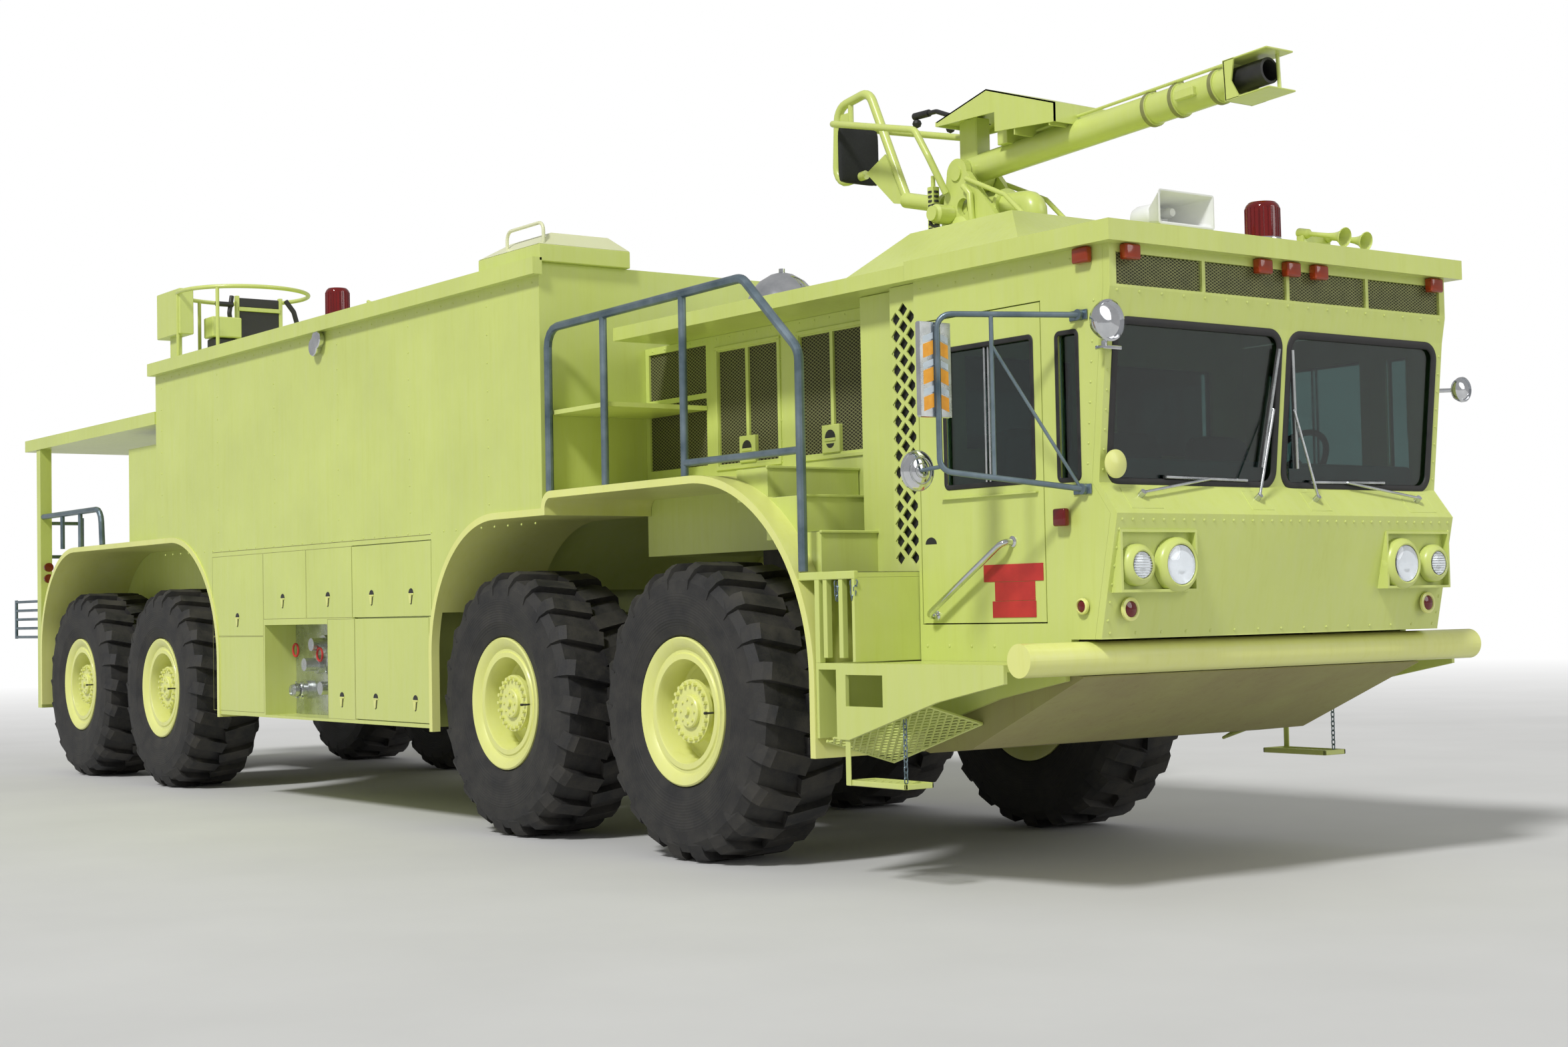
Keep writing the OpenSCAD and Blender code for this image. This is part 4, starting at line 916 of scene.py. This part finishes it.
along, pivot = tip @ Vector((1, 0, 0)), (turret["x"], 0, turret["z"])
boxShape = {"blocks": [((1.49, -0.092, -0.108), (1.502, 0.092, 0.086)), ((1.49, -0.092, -0.108), (1.76, 0.092, -0.099)),
        ((1.49, -0.092, 0.077), (1.76, 0.092, 0.086)), ((1.18, -0.1, -0.03), (1.3, -0.07, 0.02), 0.006)],
    "bars": [(0.008, 10, (0.1, -0.03, 0.085), (1.44, -0.03, 0.088)), (0.009, 10, (1.7, 0.05, -0.1), (1.7, 0.05, 0.08))],
    "flank": [(1.49, -0.108), (1.58, -0.108), (1.535, -0.02), (1.56, 0.086), (1.49, 0.086)]}
hood = {"line": [(4.639, 3.86), (4.639, 3.885), (5.04, 3.982), (5.551, 3.815), (5.551, 3.716), (5.101, 3.748),
    (5.101, 3.85)], "half": 0.19, "skin": 0.008, "discs": [(0.079, -0.082, 0.082, pivot, across, 48),
    (0.04, -0.136, 0.136, pivot, across, 40)], "blocks": [((5.24, -0.184, 3.706), (5.248, 0.184, 3.903), 0.001),
    ((5.5, -0.184, 3.706), (5.508, 0.184, 3.821), 0.001), ((5.02, -0.1, 3.7), (5.095, 0.1, 3.85)),
    ((4.66, -0.05, 3.66), (4.8, 0.05, 3.9), 0.006)]}
barrel = [turned([(0.075, -0.4), (0.075, 1.49), (0.066, 1.49), (0.066, 0.1)], alongBarrel(0), along, 64)]
barrel += build(hood) + [onBarrel(shape) for shape in build(boxShape)]
barrel += bothSides([onBarrel(sideSheet([boxShape["flank"]], 0.084, 0.092)),
    sideSheet([hood["line"]], hood["half"] - hood["skin"], hood["half"])])
for (xa, za), (xb, zb) in zip(hood["line"][:4], hood["line"][1:5]):
    corners = [(xa, -hood["half"], za), (xb, -hood["half"], zb), (xb, hood["half"], zb), (xa, hood["half"], za)]
    barrel.append(plate(corners, (za - zb, 0, xb - xa) if xb > xa else ahead, -hood["skin"]))
for x in nozzle["clamps"]:
    barrel.append(turned([(0.074, -0.016), (0.083, -0.016), (0.083, 0.016), (0.074, 0.016)], alongBarrel(x), along, 48,
        True))
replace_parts(place("frontBarrel", barrel, bodyPaint, "barrel_front"), "turret_front_barrel")
bandLine = [(0.0832, -0.012), (0.0855, -0.01), (0.0855, 0.01), (0.0832, 0.012)]
rings = [turned(bandLine, alongBarrel(x), along, 48, True) for x in nozzle["clamps"]]
place("clampBands", rings, agedBand, "barrel_front")
screws = {"bars": [(0.0065, 8, (x, -0.022, 0.091), (x, 0.022, 0.091)) for x in nozzle["clamps"]]
    + [(0.009, 6, (x, y, 0.082), (x, y, 0.098)) for x in nozzle["clamps"] for y in (-0.014, 0.014)]}
place("clampScrews", [onBarrel(shape) for shape in build(screws)], agedBand, "barrel_front")
# Black lining inside the nozzle's mouth: painted shade in the opening
boreShade = [turned([(0.062, 0), (0.062, 0.19), (0.05, 0.192), (0.05, 0.05)], alongBarrel(1.501), along, 40)]
place("nozzleMouthShade", boreShade, blackPaint, "barrel_front")
grips = {"bends": [(0.013, 14, 0.06, (4.42, 0.12, 3.971), (4.56, 0.12, 3.966), (4.72, 0.12, 3.902))]}
hold = {"bars": [(0.02, 14, (4.375, 0.12, 3.972), (4.5, 0.12, 3.969))],
    "turned": [([(0, -0.026), (0.02, -0.016), (0.026, 0), (0.02, 0.016), (0, 0.026)], (4.395, 0.12, 3.93), upright,
    16)]}
place("gripBars", bothSides(build(grips)), blackPaint, "barrel_front")
place("handGrips", bothSides(build(hold)), rubber, "barrel_front")

# Operator's place beside the rear turret, and that turret's own trim
rear = {"x": -2.8, "y": -1.0, "r": 0.5, "ring": 3.84, "roof": 3.302, "posts": (200, 258, 315, 160),
    "blocks": [((-3.35, -1.49, 3.52), (-2.87, -1.375, 3.875), 0.006), ((-3.2, -1.44, 3.302), (-3.05, -1.4, 3.53)),
        ((-2.96, -1.26, 3.5), (-2.78, -1.02, 3.66), 0.008), ((-2.93, -1.2, 3.302), (-2.83, -1.08, 3.51)),
        ((-2.93, -1.02, 3.48), (-2.895, -0.99, 3.85)), ((-2.93, -0.66, 3.48), (-2.895, -0.63, 3.85)),
        ((-2.93, -1.0, 3.73), (-2.89, -0.65, 3.762)), ((-2.93, -1.0, 3.478), (-2.89, -0.65, 3.5))]}
cage = [tube([(x, y, rear["ring"]) for x, y in ringLoop(rear["x"], rear["y"], rear["r"], steps=64)], 0.016, 12, True)]
for deg in rear["posts"]:
    (x, y), _ = ringLoop(rear["x"], rear["y"], rear["r"], deg, deg + 1, 1)
    cage.append(tube([(x, y, rear["roof"]), (x, y, 3.835)], 0.014, 12))
place("rearGuard", cage + build(rear), bodyPaint)
rearPads = {"blocks": [((-2.922, -0.992, 3.5), (-2.9, -0.658, 3.732), 0.006),
    ((-2.922, -0.992, 3.762), (-2.9, -0.658, 3.835), 0.006), ((-2.945, -1.24, 3.36), (-2.8, -1.04, 3.495), 0.01)],
    "bars": [(0.02, 12, (-2.86, -1.2, 3.77), (-2.86, -1.06, 3.77))],
    "bends": [(0.018, 10, 0.05, (-2.88, -1.06, 3.84), (-2.86, -1.09, 3.7), (-2.9, -1.04, 3.5), (-2.9, -1.04, 3.32)),
    (0.02, 10, 0.05, (-2.88, -0.61, 3.83), (-2.84, -0.56, 3.74), (-2.84, -0.52, 3.6))]}
place("rearGuardPads", build(rearPads), blackPaint)
tiller = {"discs": [(0.066, 0, 0.05, (-1.65, 0, 3.682), (0.9962, 0, 0.0872), 32)],
    "bends": [(0.014, 12, 0.06, (-2.36, 0, 3.65), (-2.54, 0, 3.8), (-2.66, 0, 3.84))]}
place("rearTiller", build(tiller), bodyPaint, "barrel_rear")

# Engine housing: walls with screens, doors and latches, the service bay and the mesh behind the cab
house = {"skin": (0.79, 0.815), "wall": (2.702, 5.4, 1.62, 2.835), "latches": ((3.73, 2.18), (4.48, 2.18)),
    "windows": ((2.74, 3.33, 2.525, 2.795), (2.74, 3.33, 2.115, 2.495), (3.45, 3.712, 2.11, 2.74),
        (3.738, 4.012, 2.11, 2.74), (4.215, 4.475, 2.11, 2.74), (4.5, 4.775, 2.11, 2.74)),
    "mesh": (5.352, 5.549, 1.463, 2.834), "diamond": 0.034,
    "blocks": [((2.702, -0.8, 1.62), (2.727, 0.8, 2.835)), ((5.401, -0.815, 1.3), (5.426, 0.815, 2.835)),
        ((5.03, -1.05, 1.463), (5.33, 1.05, 2.834)), ((5.352, -1.112, 2.8), (5.549, 1.112, 2.834))]}
y0, y1 = house["skin"]
walls = [sideSheet([oblong(*house["wall"])] + [oblong(*w) for w in house["windows"]], y0, y1)]
walls += [block((x, y1 - 0.002, 2.092), (x + 0.024, y1 + 0.01, 2.756)) for x in (3.422, 4.187, 4.016, 4.779)]
walls += [block((x0, y1 - 0.002, z), (x1, y1 + 0.01, z + 0.022)) for x0, x1 in ((3.424, 4.038), (4.189, 4.801))
    for z in (2.076, 2.748)]
for x, z in house["latches"]:
    walls.append(block((x - 0.074, y1 - 0.02, z - 0.074), (x + 0.074, y1 + 0.012, z + 0.074), 0.004))
    walls.append(block((x - 0.044, y1 + 0.011, z - 0.012), (x + 0.044, y1 + 0.018, z + 0.004), 0.002))
diamonds, d = [], house["diamond"]
for x, lift in ((5.394, 0), (5.45, 0.041), (5.506, 0)):
    for z in [1.53 + 0.082 * k + lift for k in range(15)]:
        diamonds.append([(x - d, z), (x, z - d), (x + d, z), (x, z + d)])
walls.append(sideSheet([oblong(*house["mesh"])] + diamonds, 1.112, 1.12))
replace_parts(place("housingWalls", build(house) + bothSides(walls), bodyPaint), "engine_housing")
panes = [block((a - 0.01, y0 + 0.002, c - 0.01), (b + 0.01, y0 + 0.012, d + 0.01), 0.001) for a, b, c,
    d in house["windows"]]
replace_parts(place("housingScreens", bothSides(panes), screenMesh), "housing_screens")
# Black slab behind the mesh beside the cab and black half-discs at each latch bar: painted shade in the channel and the
# finger holes
holeShade = [block((5.352, 1.085, 1.463), (5.549, 1.1, 2.8), 0.001)]
for x, z in house["latches"]:
    holeShade += [sideSheet([loop], y1 + 0.011, y1 + 0.0135)
        for loop in (ringLoop(x, z + 0.004, 0.044, 0, 180, 20), ringLoop(x, z - 0.012, 0.036, 200, 340, 16))]
place("housingHoleShade", bothSides(holeShade), blackPaint)

# Stair over the arch, low step, sloping mesh and plate edges beside the cab
stair = {"blocks": [((4.44, 0.82, 1.84), (4.705, 1.4, 2.006)), ((4.69, 0.82, 1.64), (4.96, 1.4, 1.852)),
        ((4.94, 1.045, 1.44), (5.135, 1.4, 1.668)), ((4.7, 0.816, 2.0), (4.712, 1.406, 2.014)),
        ((4.955, 0.816, 1.844), (4.97, 1.406, 1.858)), ((5.13, 1.04, 1.66), (5.146, 1.406, 1.674)),
        ((5.441, 1.506, 0.474), (5.476, 1.515, 0.76)), ((5.441, 1.34, 0.474), (5.866, 1.352, 0.5)),
        ((5.441, 1.492, 0.474), (5.866, 1.506, 0.5)), ((5.441, 1.34, 0.474), (5.453, 1.506, 0.5)),
        ((5.854, 1.34, 0.474), (5.866, 1.506, 0.5)), ((5.812, 1.456, 0.79), (5.828, 1.516, 0.8)),
        ((5.3, 1.49, 1.065), (5.33, 1.522, 1.44), 0.002), ((5.42, 1.49, 1.065), (5.45, 1.522, 1.44), 0.002),
        ((5.116, 1.5, 1.432), (5.546, 1.526, 1.47))],
    "netFoot": (5.303, 1.516, 0.672), "netSize": (0.67, 0.393), "netTurn": (-17.35, 18)}
turn = Matrix.Rotation(math.radians(stair["netTurn"][0]), 4, "Y") @ Matrix.Rotation(math.radians(stair["netTurn"][1]),
    4, "X")
long, wide = stair["netSize"]


def onNet(a, b):
    return Vector(stair["netFoot"]) + turn @ Vector((a, b - wide, 0.003))


steps = build(stair) + lattice(0.413, 0.15, 0.055, 0.004, lambda a, b: Vector((5.447 + a, 1.346 + b, 0.49)), 1.0)
steps += lattice(long, wide, 0.062, 0.006, onNet)
steps += [tube([onNet(*a), onNet(*b)], 0.008, 6) for a, b in (((0, 0), (long, 0)), ((long, 0), (long, wide)),
    ((0, 0), (0, wide)))]
place("sideStepTrim", bothSides(steps), bodyPaint)
# Dark mats on the treads and the platform: non-skid grit, darkened further as painted shade
mats = {"blocks": [((4.47, 0.85, 2.006), (4.69, 1.38, 2.009), 0.001),
    ((4.72, 0.85, 1.852), (4.945, 1.38, 1.855), 0.001), ((4.975, 1.06, 1.668), (5.12, 1.38, 1.671), 0.001),
    ((5.125, 0.85, 1.462), (5.535, 1.48, 1.465), 0.001)]}
place("stepShadeMats", bothSides(build(mats)), gritAndShadeMat)

# Wheels: pressed rims, in mm as radius and distance from the hub's face, with hubs and bolt circles
rimLine = [(0, 0), (0, 228), (80, 228), (86, 222), (86, 204), (166, 204), (166, 182), (126, 178), (126, 120), (170, 84),
    (250, 84), (262, 100), (266, 236), (272, 246), (300, 246), (306, 238), (322, 238), (344, 260), (380, 270),
    (388, 264), (388, 250), (350, 241), (318, 226), (312, 120), (312, -200), (318, -226), (350, -241), (388, -250),
    (388, -264), (340, -262), (300, -240), (294, -200), (294, 40), (262, 60), (160, 60), (160, 0)]
hubFace = {"y": 1.2, "z": 0.778, "cap": (0.02, 0.226, 0.244), "circles": ((20, 0.146, 0.011, 0.202, 0.226),
    (8, 0.062, 0.007, 0.226, 0.236))}
for key, x in axleX.items():
    foot = Vector((x, hubFace["y"], hubFace["z"]))
    studs = [(r, near, far, foot + Vector((out * math.cos(a), 0, out * math.sin(a))), across, 6)
        for n, out, r, near, far in hubFace["circles"] for a in around(n)]
    rim = [turned([(r / 1000, h / 1000) for r, h in rimLine], foot, across, 72, True)]
    rim += build({"discs": [(*hubFace["cap"], foot, across, 24)] + studs})
    for side, shapes in (("right", mirrored(rim)), ("left", rim)):
        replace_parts(place(f"rim_{key}_{side}", shapes, brightPaint, f"wheel_{key}_{side}"),
            f"wheel_{key}_{side}")

# Mirrors on their braced arms
brace = {"x": 6.46018, "y": 1.45962, "hinge": 1.149}
arms = {"bends": [(0.013, 16, 0.06, (6.684, 1.149, 2.545), (6.323, 1.65, 2.56), (6.323, 1.65, 1.88),
    (6.684, 1.149, 1.79))], "bars": [(0.01, 12, (brace["x"], brace["y"], 1.848), (brace["x"], brace["y"], 2.552)),
    (0.0075, 12, (brace["x"], brace["y"], 2.42), (6.674, 1.157, 1.796)),
    (0.009, 10, (6.236, 1.68, 1.887), (6.33, 1.642, 1.899))], "discs": [(0.024, 0, 0.026, (6.684, 1.137, z), across,
    20) for z in (2.545, 1.79)], "blocks": [((6.614, 1.137, z - 0.022), (6.724, 1.144, z + 0.022), 0.002)
    for z in (2.545, 1.79)]}
heads = {"blocks": [((6.278, 1.562, 2.112), (6.306, 1.74, 2.528), 0.008)],
    "turned": [([(0, 0), (0.09, 0), (0.09, 0.01), (0.072, 0.026), (0.04, 0.036), (0, 0.04)], (6.2, 1.68, 1.887), ahead,
    40)]}
place("mirrorHeads", bothSides(build(heads)), chrome)
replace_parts(place("mirrorArms", bothSides(build(arms)), tubeSteel), "mirrors")
# Wiper arms: hub and elbow on the nose, then the blade between its ends
swipe = []
for hub, bend, high, low in (((0.198, 1.752), (0.07, 2.165), (0.045, 2.44), (0.12, 1.9)),
        ((0.934, 1.757), (0.467, 1.842), (0.742, 1.845), (0.219, 1.839))):
    half = [(a + b) / 2 for a, b in zip(high, low)]
    near = [a * 0.7 + b * 0.3 for a, b in zip(bend, half)]
    top = onNose(*hub, 0.03)
    swipe += build({"bars": [(0.014, 14, onNose(*hub, 0), top), (0.0065, 10, top - Vector((0.004, 0, 0.004)),
        onNose(*bend, 0.016)), (0.006, 10, onNose(*bend, 0.016), onNose(*near, 0.01)),
        (0.007, 8, onNose(*high, 0.01), onNose(*low, 0.01))]})
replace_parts(place("wiperArms", bothSides(swipe), satinChrome), "wipers")


def spotShape(at, r):
    outline = ((0, -0.8), (0.42, -0.68), (0.82, -0.36), (1, 0))
    return turned([(r * a, r * b) for a, b in outline] + [(r, 0.014), (r * 0.9, 0.02), (r * 0.86, 0.008),
        (r * 0.5, 0.022), (0, 0.026)], at, ahead, 48)


# Spotlights, the roof's chrome dome and the pair of floodlights on the tank's edge
flood = [(0, -0.05), (0.035, -0.045), (0.06, -0.015), (0.064, 0.01), (0.058, 0.016), (0, 0.024)]
spots = {"bars": [(0.013, 12, (6.868, -1.185, 2.386), (6.868, -1.185, 2.41)),
    (0.01, 12, (6.83, 1.249, 2.307), (6.72, 1.143, 2.307)), (0.022, 12, (-0.21, -1.525, 3.235),
    (-0.21, -1.565, 3.215))], "blocks": [((6.826, -1.2, 2.376), (6.88, -1.09, 2.392))],
    "discs": [(0.024, 0, 0.01, (6.72, 1.137, 2.307), across, 20)], "turned": [([(0.2, 0), (0.2, 0.008), (0.186, 0.01),
    (0.165, 0.06), (0.12, 0.11), (0.06, 0.146), (0.016, 0.158), (0.016, 0.178), (0, 0.18)], (4.265, -0.96, 2.91),
    upright, 56), (flood, (-0.205, -1.56, 3.175), (0, -1, 0), 32), (flood, (-0.255, -1.56, 3.13), (0, -1, 0), 32)]}
lampShapes = build(spots) + [spotShape((6.89, -1.185, 2.494), 0.09), spotShape((6.85, 1.257, 2.307), 0.062)]
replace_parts(place("spotlights", lampShapes, chrome), "lamps_and_horns")
noseDisc = {"turned": [([(0.062, 0), (0.062, 0.008), (0.04, 0.018), (0, 0.022)], (6.812, -1.083, 1.892), ahead, 32)],
    "bars": [(0.012, 12, (6.765, -1.083, 1.892), (6.812, -1.083, 1.892))]}
place("noseMirror", build(noseDisc), brightPaint)
tail = {"line": [(0.04, 0), (0.04, -0.024), (0.03, -0.031), (0, -0.034)], "x": -6.06, "y": 1.474, "heights": (1.7, 1.8)}
rearCaps = [turned(tail["line"], (tail["x"], tail["y"], z), ahead, 32) for z in tail["heights"]]
place("rearLampCaps", bothSides(rearCaps), redGlass)

# Filling hatch on its coaming, with a bent handle
lidShape = {"coaming": ((2.02, -1.54, 3.301), (2.736, -0.93, 3.4), 0.004), "foot": (2.024, 2.732, -1.538, -0.934),
    "top": (2.224, 2.692, -1.434, -1.054), "heights": (3.401, 3.476),
    "bends": [(0.01, 12, 0.05, (2.3, -1.5, 3.42), (2.3, -1.5, 3.53), (2.72, -1.5, 3.53), (2.72, -1.5, 3.41))]}
place("hatchCoaming", [block(*lidShape["coaming"])], bodyPaint)
lid = [frustumBox(lidShape["foot"], lidShape["top"], *lidShape["heights"])] + build(lidShape)
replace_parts(place("hatchLid", lid, hatchPaint, "tank_hatch"), "tank_hatch")

# Seams, latches and paddles on the tank's side, with a black half-disc as painted shade in each latch hollow and a
# black painted shadow under each paddle
panels = ((-2.17, -1.242, 1.185, 1.768), (-1.235, -0.516, 1.302, 1.768), (-0.509, 0.206, 1.302, 1.768),
    (-0.176, 0.236, 0.632, 1.292), (-2.17, -1.242, 0.64, 1.178))
seams = [tube([(x, 1.5235, z) for x, z in oblong(*row)], 0.0026, 4, True, 0.6, across) for row in panels]
seams.append(tube([(-2.17, 1.5235, 1.802), (1.33, 1.5235, 1.802)], 0.003, 4, False, 0.6, across))
place("tankSeams", bothSides(seams), seamShade, smooth=False)
latches = {"chassis": ((-0.904, 1.443), (-0.165, 1.443), (0.038, 0.777), (-1.707, 1.317)),
    "locker_upper": ((0.498, 1.443), (1.056, 1.443)), "locker_lower": ((0.541, 0.777), (1.099, 0.777))}
# Black half-disc in each latch hollow is painted shade; the black patch set off below each paddle is a painted shadow
paddleShadow, lever = ((-0.02, -0.012), (0.022, -0.012), (0.01, -0.062), (-0.004, -0.07)), ((-0.026, -0.008), (0.012, -0.008),
    (0.002, -0.06), (-0.014, -0.06))
for row, places in latches.items():
    shadeMarks, paddles = [], []
    for x, z in places:
        shadeMarks.append(sideSheet([ringLoop(x, z, 0.033, 0, 180, 20)], 1.5242, 1.5256))
        shadeMarks.append(sideSheet([[(x + a, z + b) for a, b in paddleShadow]], 1.5242, 1.5252))
        paddles.append(block((x - 0.034, 1.5235, z - 0.008), (x + 0.034, 1.5295, z + 0.002), 0.002))
        paddles.append(sideSheet([[(x + a, z + b) for a, b in lever]], 1.5245, 1.53))
    for side, turnOver in doorSides:
        body = "chassis" if row == "chassis" else f"{row}_{side}"
        place(f"latchShadeMarks_{row}_{side}", turnOver(shadeMarks), blackPaint, body, smooth=False)
        place(f"latchPaddles_{row}_{side}", turnOver(paddles), brightPaint, body)
print("forms the solids lack built")

# Hanging chains of steel links
chain = {"wire": 0.0032, "long": 0.03, "wide": 0.019}


def link(at, along, flat):
    a = Vector(along).normalized()
    s = Vector(flat).normalized()
    h, w = chain["long"] / 2, chain["wide"] / 2
    pts = []
    for k in range(14):
        t = 2 * math.pi * k / 14
        pts.append(Vector(at) + a * (math.sin(t) * w + (h - w) * (1 if math.sin(t) >= 0 else -1)) + s * math.cos(t) * w)
    return tube(pts, chain["wire"], 6, True)


def chainAlong(points):
    out = []
    for a, b in zip(points, points[1:]):
        a, b = Vector(a), Vector(b)
        d = (b - a).normalized()
        n = max(1, round((b - a).length / (chain["long"] - 2 * chain["wire"])))
        side = d.cross(Vector((0, 1, 0))).normalized() if abs(d.y) < 0.9 else Vector((1, 0, 0))
        for k in range(n):
            out.append(link(a + (b - a) * (k + 0.5) / n, d, side if k % 2 else d.cross(side)))
    return out


links = chainAlong([(5.82, 1.464, 0.5), (5.82, 1.464, 0.792)])
for x in (5.392, 5.512):
    sag = [(x, 1.512, 1.424), (x + 0.006, 1.516, 1.375), (x + 0.016, 1.518, 1.335), (x + 0.028, 1.516, 1.375),
        (x + 0.034, 1.512, 1.424)]
    links += chainAlong(sag)
place("hangingChains", bothSides(links), tubeSteel)

# Hose outlet caps and hand wheels
outlet = {"rows": ((-1.0, 0.8), (-0.4, 0.96)), "face": 1.289}
lugs, seals = [], []
for x, z in outlet["rows"]:
    f = outlet["face"]
    for k in range(4):
        a = math.pi / 4 + k * math.pi / 2
        p = Vector((x + 0.058 * math.cos(a), f + 0.075, z + 0.058 * math.sin(a)))
        lugs.append(tube([p, p + Vector((0.02 * math.cos(a), 0, 0.02 * math.sin(a)))], 0.008, 8))
    seals.append(turned([(0.06, 0.0665), (0.0625, 0.07), (0.0625, 0.08), (0.06, 0.0835)], (x, f, z), (0, 1, 0), 40,
        True))
    for h in [0.106 + k * 0.0065 for k in range(5)]:
        seals.append(turned([(0.0385, h), (0.0402, h + 0.002), (0.0385, h + 0.004)], (x, f, z), (0, 1, 0), 32, True))
place("couplingLugs", bothSides(lugs + seals), chrome)
rims = []
for x, z in ((-1.04, 1.08), (-0.64, 1.05), (-0.38, 1.12)):
    loop = [Vector((x + 0.044 * math.cos(a), 1.371, z + 0.044 * math.sin(a))) for a in around(28)]
    rims.append(tube(loop, 0.0078, 8, True))
place("handWheelRims", bothSides(rims), placardRed)

# Valve stems and rim bolts
for key, x in axleX.items():
    for side, s in (("right", -1), ("left", 1)):
        body = f"wheel_{key}_{side}"
        y = 1.446
        stem = tube([(x + 0.262, y, 0.778), (x + 0.275, y + 0.022, 0.778), (x + 0.27, y + 0.048, 0.778)], 0.0055, 8)
        cap = turned([(0.0075, 0.0), (0.0075, 0.014), (0.004, 0.017)], (x + 0.27, y + 0.046, 0.778), (0, 1, 0), 12)
        nuts = []
        for a in [a + math.pi / 20 for a in around(20)]:
            nuts.append(turned([(0.008, 0.0), (0.008, 0.01), (0.005, 0.012)],
                (x + 0.352 * math.cos(a), 1.2 + 0.2425, 0.778 + 0.352 * math.sin(a)), (0, 1, 0), 6))
        place(f"valveStem_{key}_{side}", [stem, cap] if s > 0 else mirrored([stem, cap]), rubber, body)
        place(f"rimBolts_{key}_{side}", nuts if s > 0 else mirrored(nuts), satinChrome, body)
print("wheels dressed")

# Stage, light and camera
ground = bpy.data.meshes.new("ground")
ground.from_pydata([(-120, -120, -0.002), (120, -120, -0.002), (120, 120, -0.002), (-120, 120, -0.002)], [],
    [(0, 1, 2, 3)])
floorMat, floorTree, floorShader = newMaterial("paleFloor", Roughness=0.75)
where = objectSpace(floorTree)
away = floorTree.nodes.new("ShaderNodeVectorMath")
away.operation = "LENGTH"
floorTree.links.new(where, away.inputs[0])
fade = rangeNode(floorTree, away.outputs["Value"], 11.0, 34.0)
floorTree.links.new(mixColour(floorTree, rangeNode(floorTree, noiseNode(floorTree, where, 0.7), 0.3, 0.7),
    (0.6, 0.6, 0.59, 1), (0.64, 0.64, 0.63, 1)), floorShader.inputs["Base Color"])
glow = floorTree.nodes.new("ShaderNodeEmission")
glow.inputs["Strength"].default_value = 1.0
seen = floorTree.nodes.new("ShaderNodeLightPath")
blendIn = floorTree.nodes.new("ShaderNodeMixShader")
floorTree.links.new(mathNode(floorTree, "MULTIPLY", fade, seen.outputs["Is Camera Ray"]), blendIn.inputs[0])
floorTree.links.new(floorShader.outputs[0], blendIn.inputs[1])
floorTree.links.new(glow.outputs[0], blendIn.inputs[2])
floorTree.links.new(blendIn.outputs[0], floorTree.nodes["Material Output"].inputs["Surface"])
ground.materials.append(floorMat)
floor = bpy.data.objects.new("floor", ground)
bpy.context.scene.collection.objects.link(floor)

world = bpy.data.worlds.new("studio")
bpy.context.scene.world = world
world.use_nodes = True
wt = world.node_tree
path = wt.nodes.new("ShaderNodeLightPath")
sees = mathNode(wt, "MAXIMUM", path.outputs["Is Camera Ray"], path.outputs["Is Transmission Ray"])
wt.links.new(mathNode(wt, "ADD", mathNode(wt, "MULTIPLY", sees, 0.58), 0.42), wt.nodes["Background"].inputs["Strength"])
wt.nodes["Background"].inputs["Color"].default_value = (1, 1, 1, 1)

lights = {"key": ((0.3, -0.72, 0.8), 2.35, 9), "fill": ((0.8, 0.45, 0.35), 0.55, 30)}
for name, (toward, strength, soft) in lights.items():
    lamp = bpy.data.lights.new(name, "SUN")
    lamp.energy = strength
    lamp.angle = math.radians(soft)
    ob = bpy.data.objects.new(name, lamp)
    ob.rotation_euler = Vector(toward).to_track_quat("Z", "Y").to_euler()
    bpy.context.scene.collection.objects.link(ob)

view = {"at": (13.616, -7.848, 1.295), "right": (0.5913, 0.8062, -0.0199), "up": (0.0431, -0.007, 0.999),
    "lens": 50.918}
camera = bpy.data.cameras.new("photoView")
camera.sensor_fit = "HORIZONTAL"
camera.sensor_width = 36.0
camera.lens = view["lens"]
camera.clip_end = 500
right, up = Vector(view["right"]).normalized(), Vector(view["up"]).normalized()
back = right.cross(up).normalized()
up = back.cross(right)
eye = bpy.data.objects.new("photoView", camera)
eye.matrix_world = Matrix(((right.x, up.x, back.x, view["at"][0]), (right.y, up.y, back.y, view["at"][1]),
    (right.z, up.z, back.z, view["at"][2]), (0, 0, 0, 1)))
bpy.context.scene.collection.objects.link(eye)
bpy.context.scene.camera = eye
bpy.context.scene.view_settings.view_transform = "Standard"

print("scene ready")
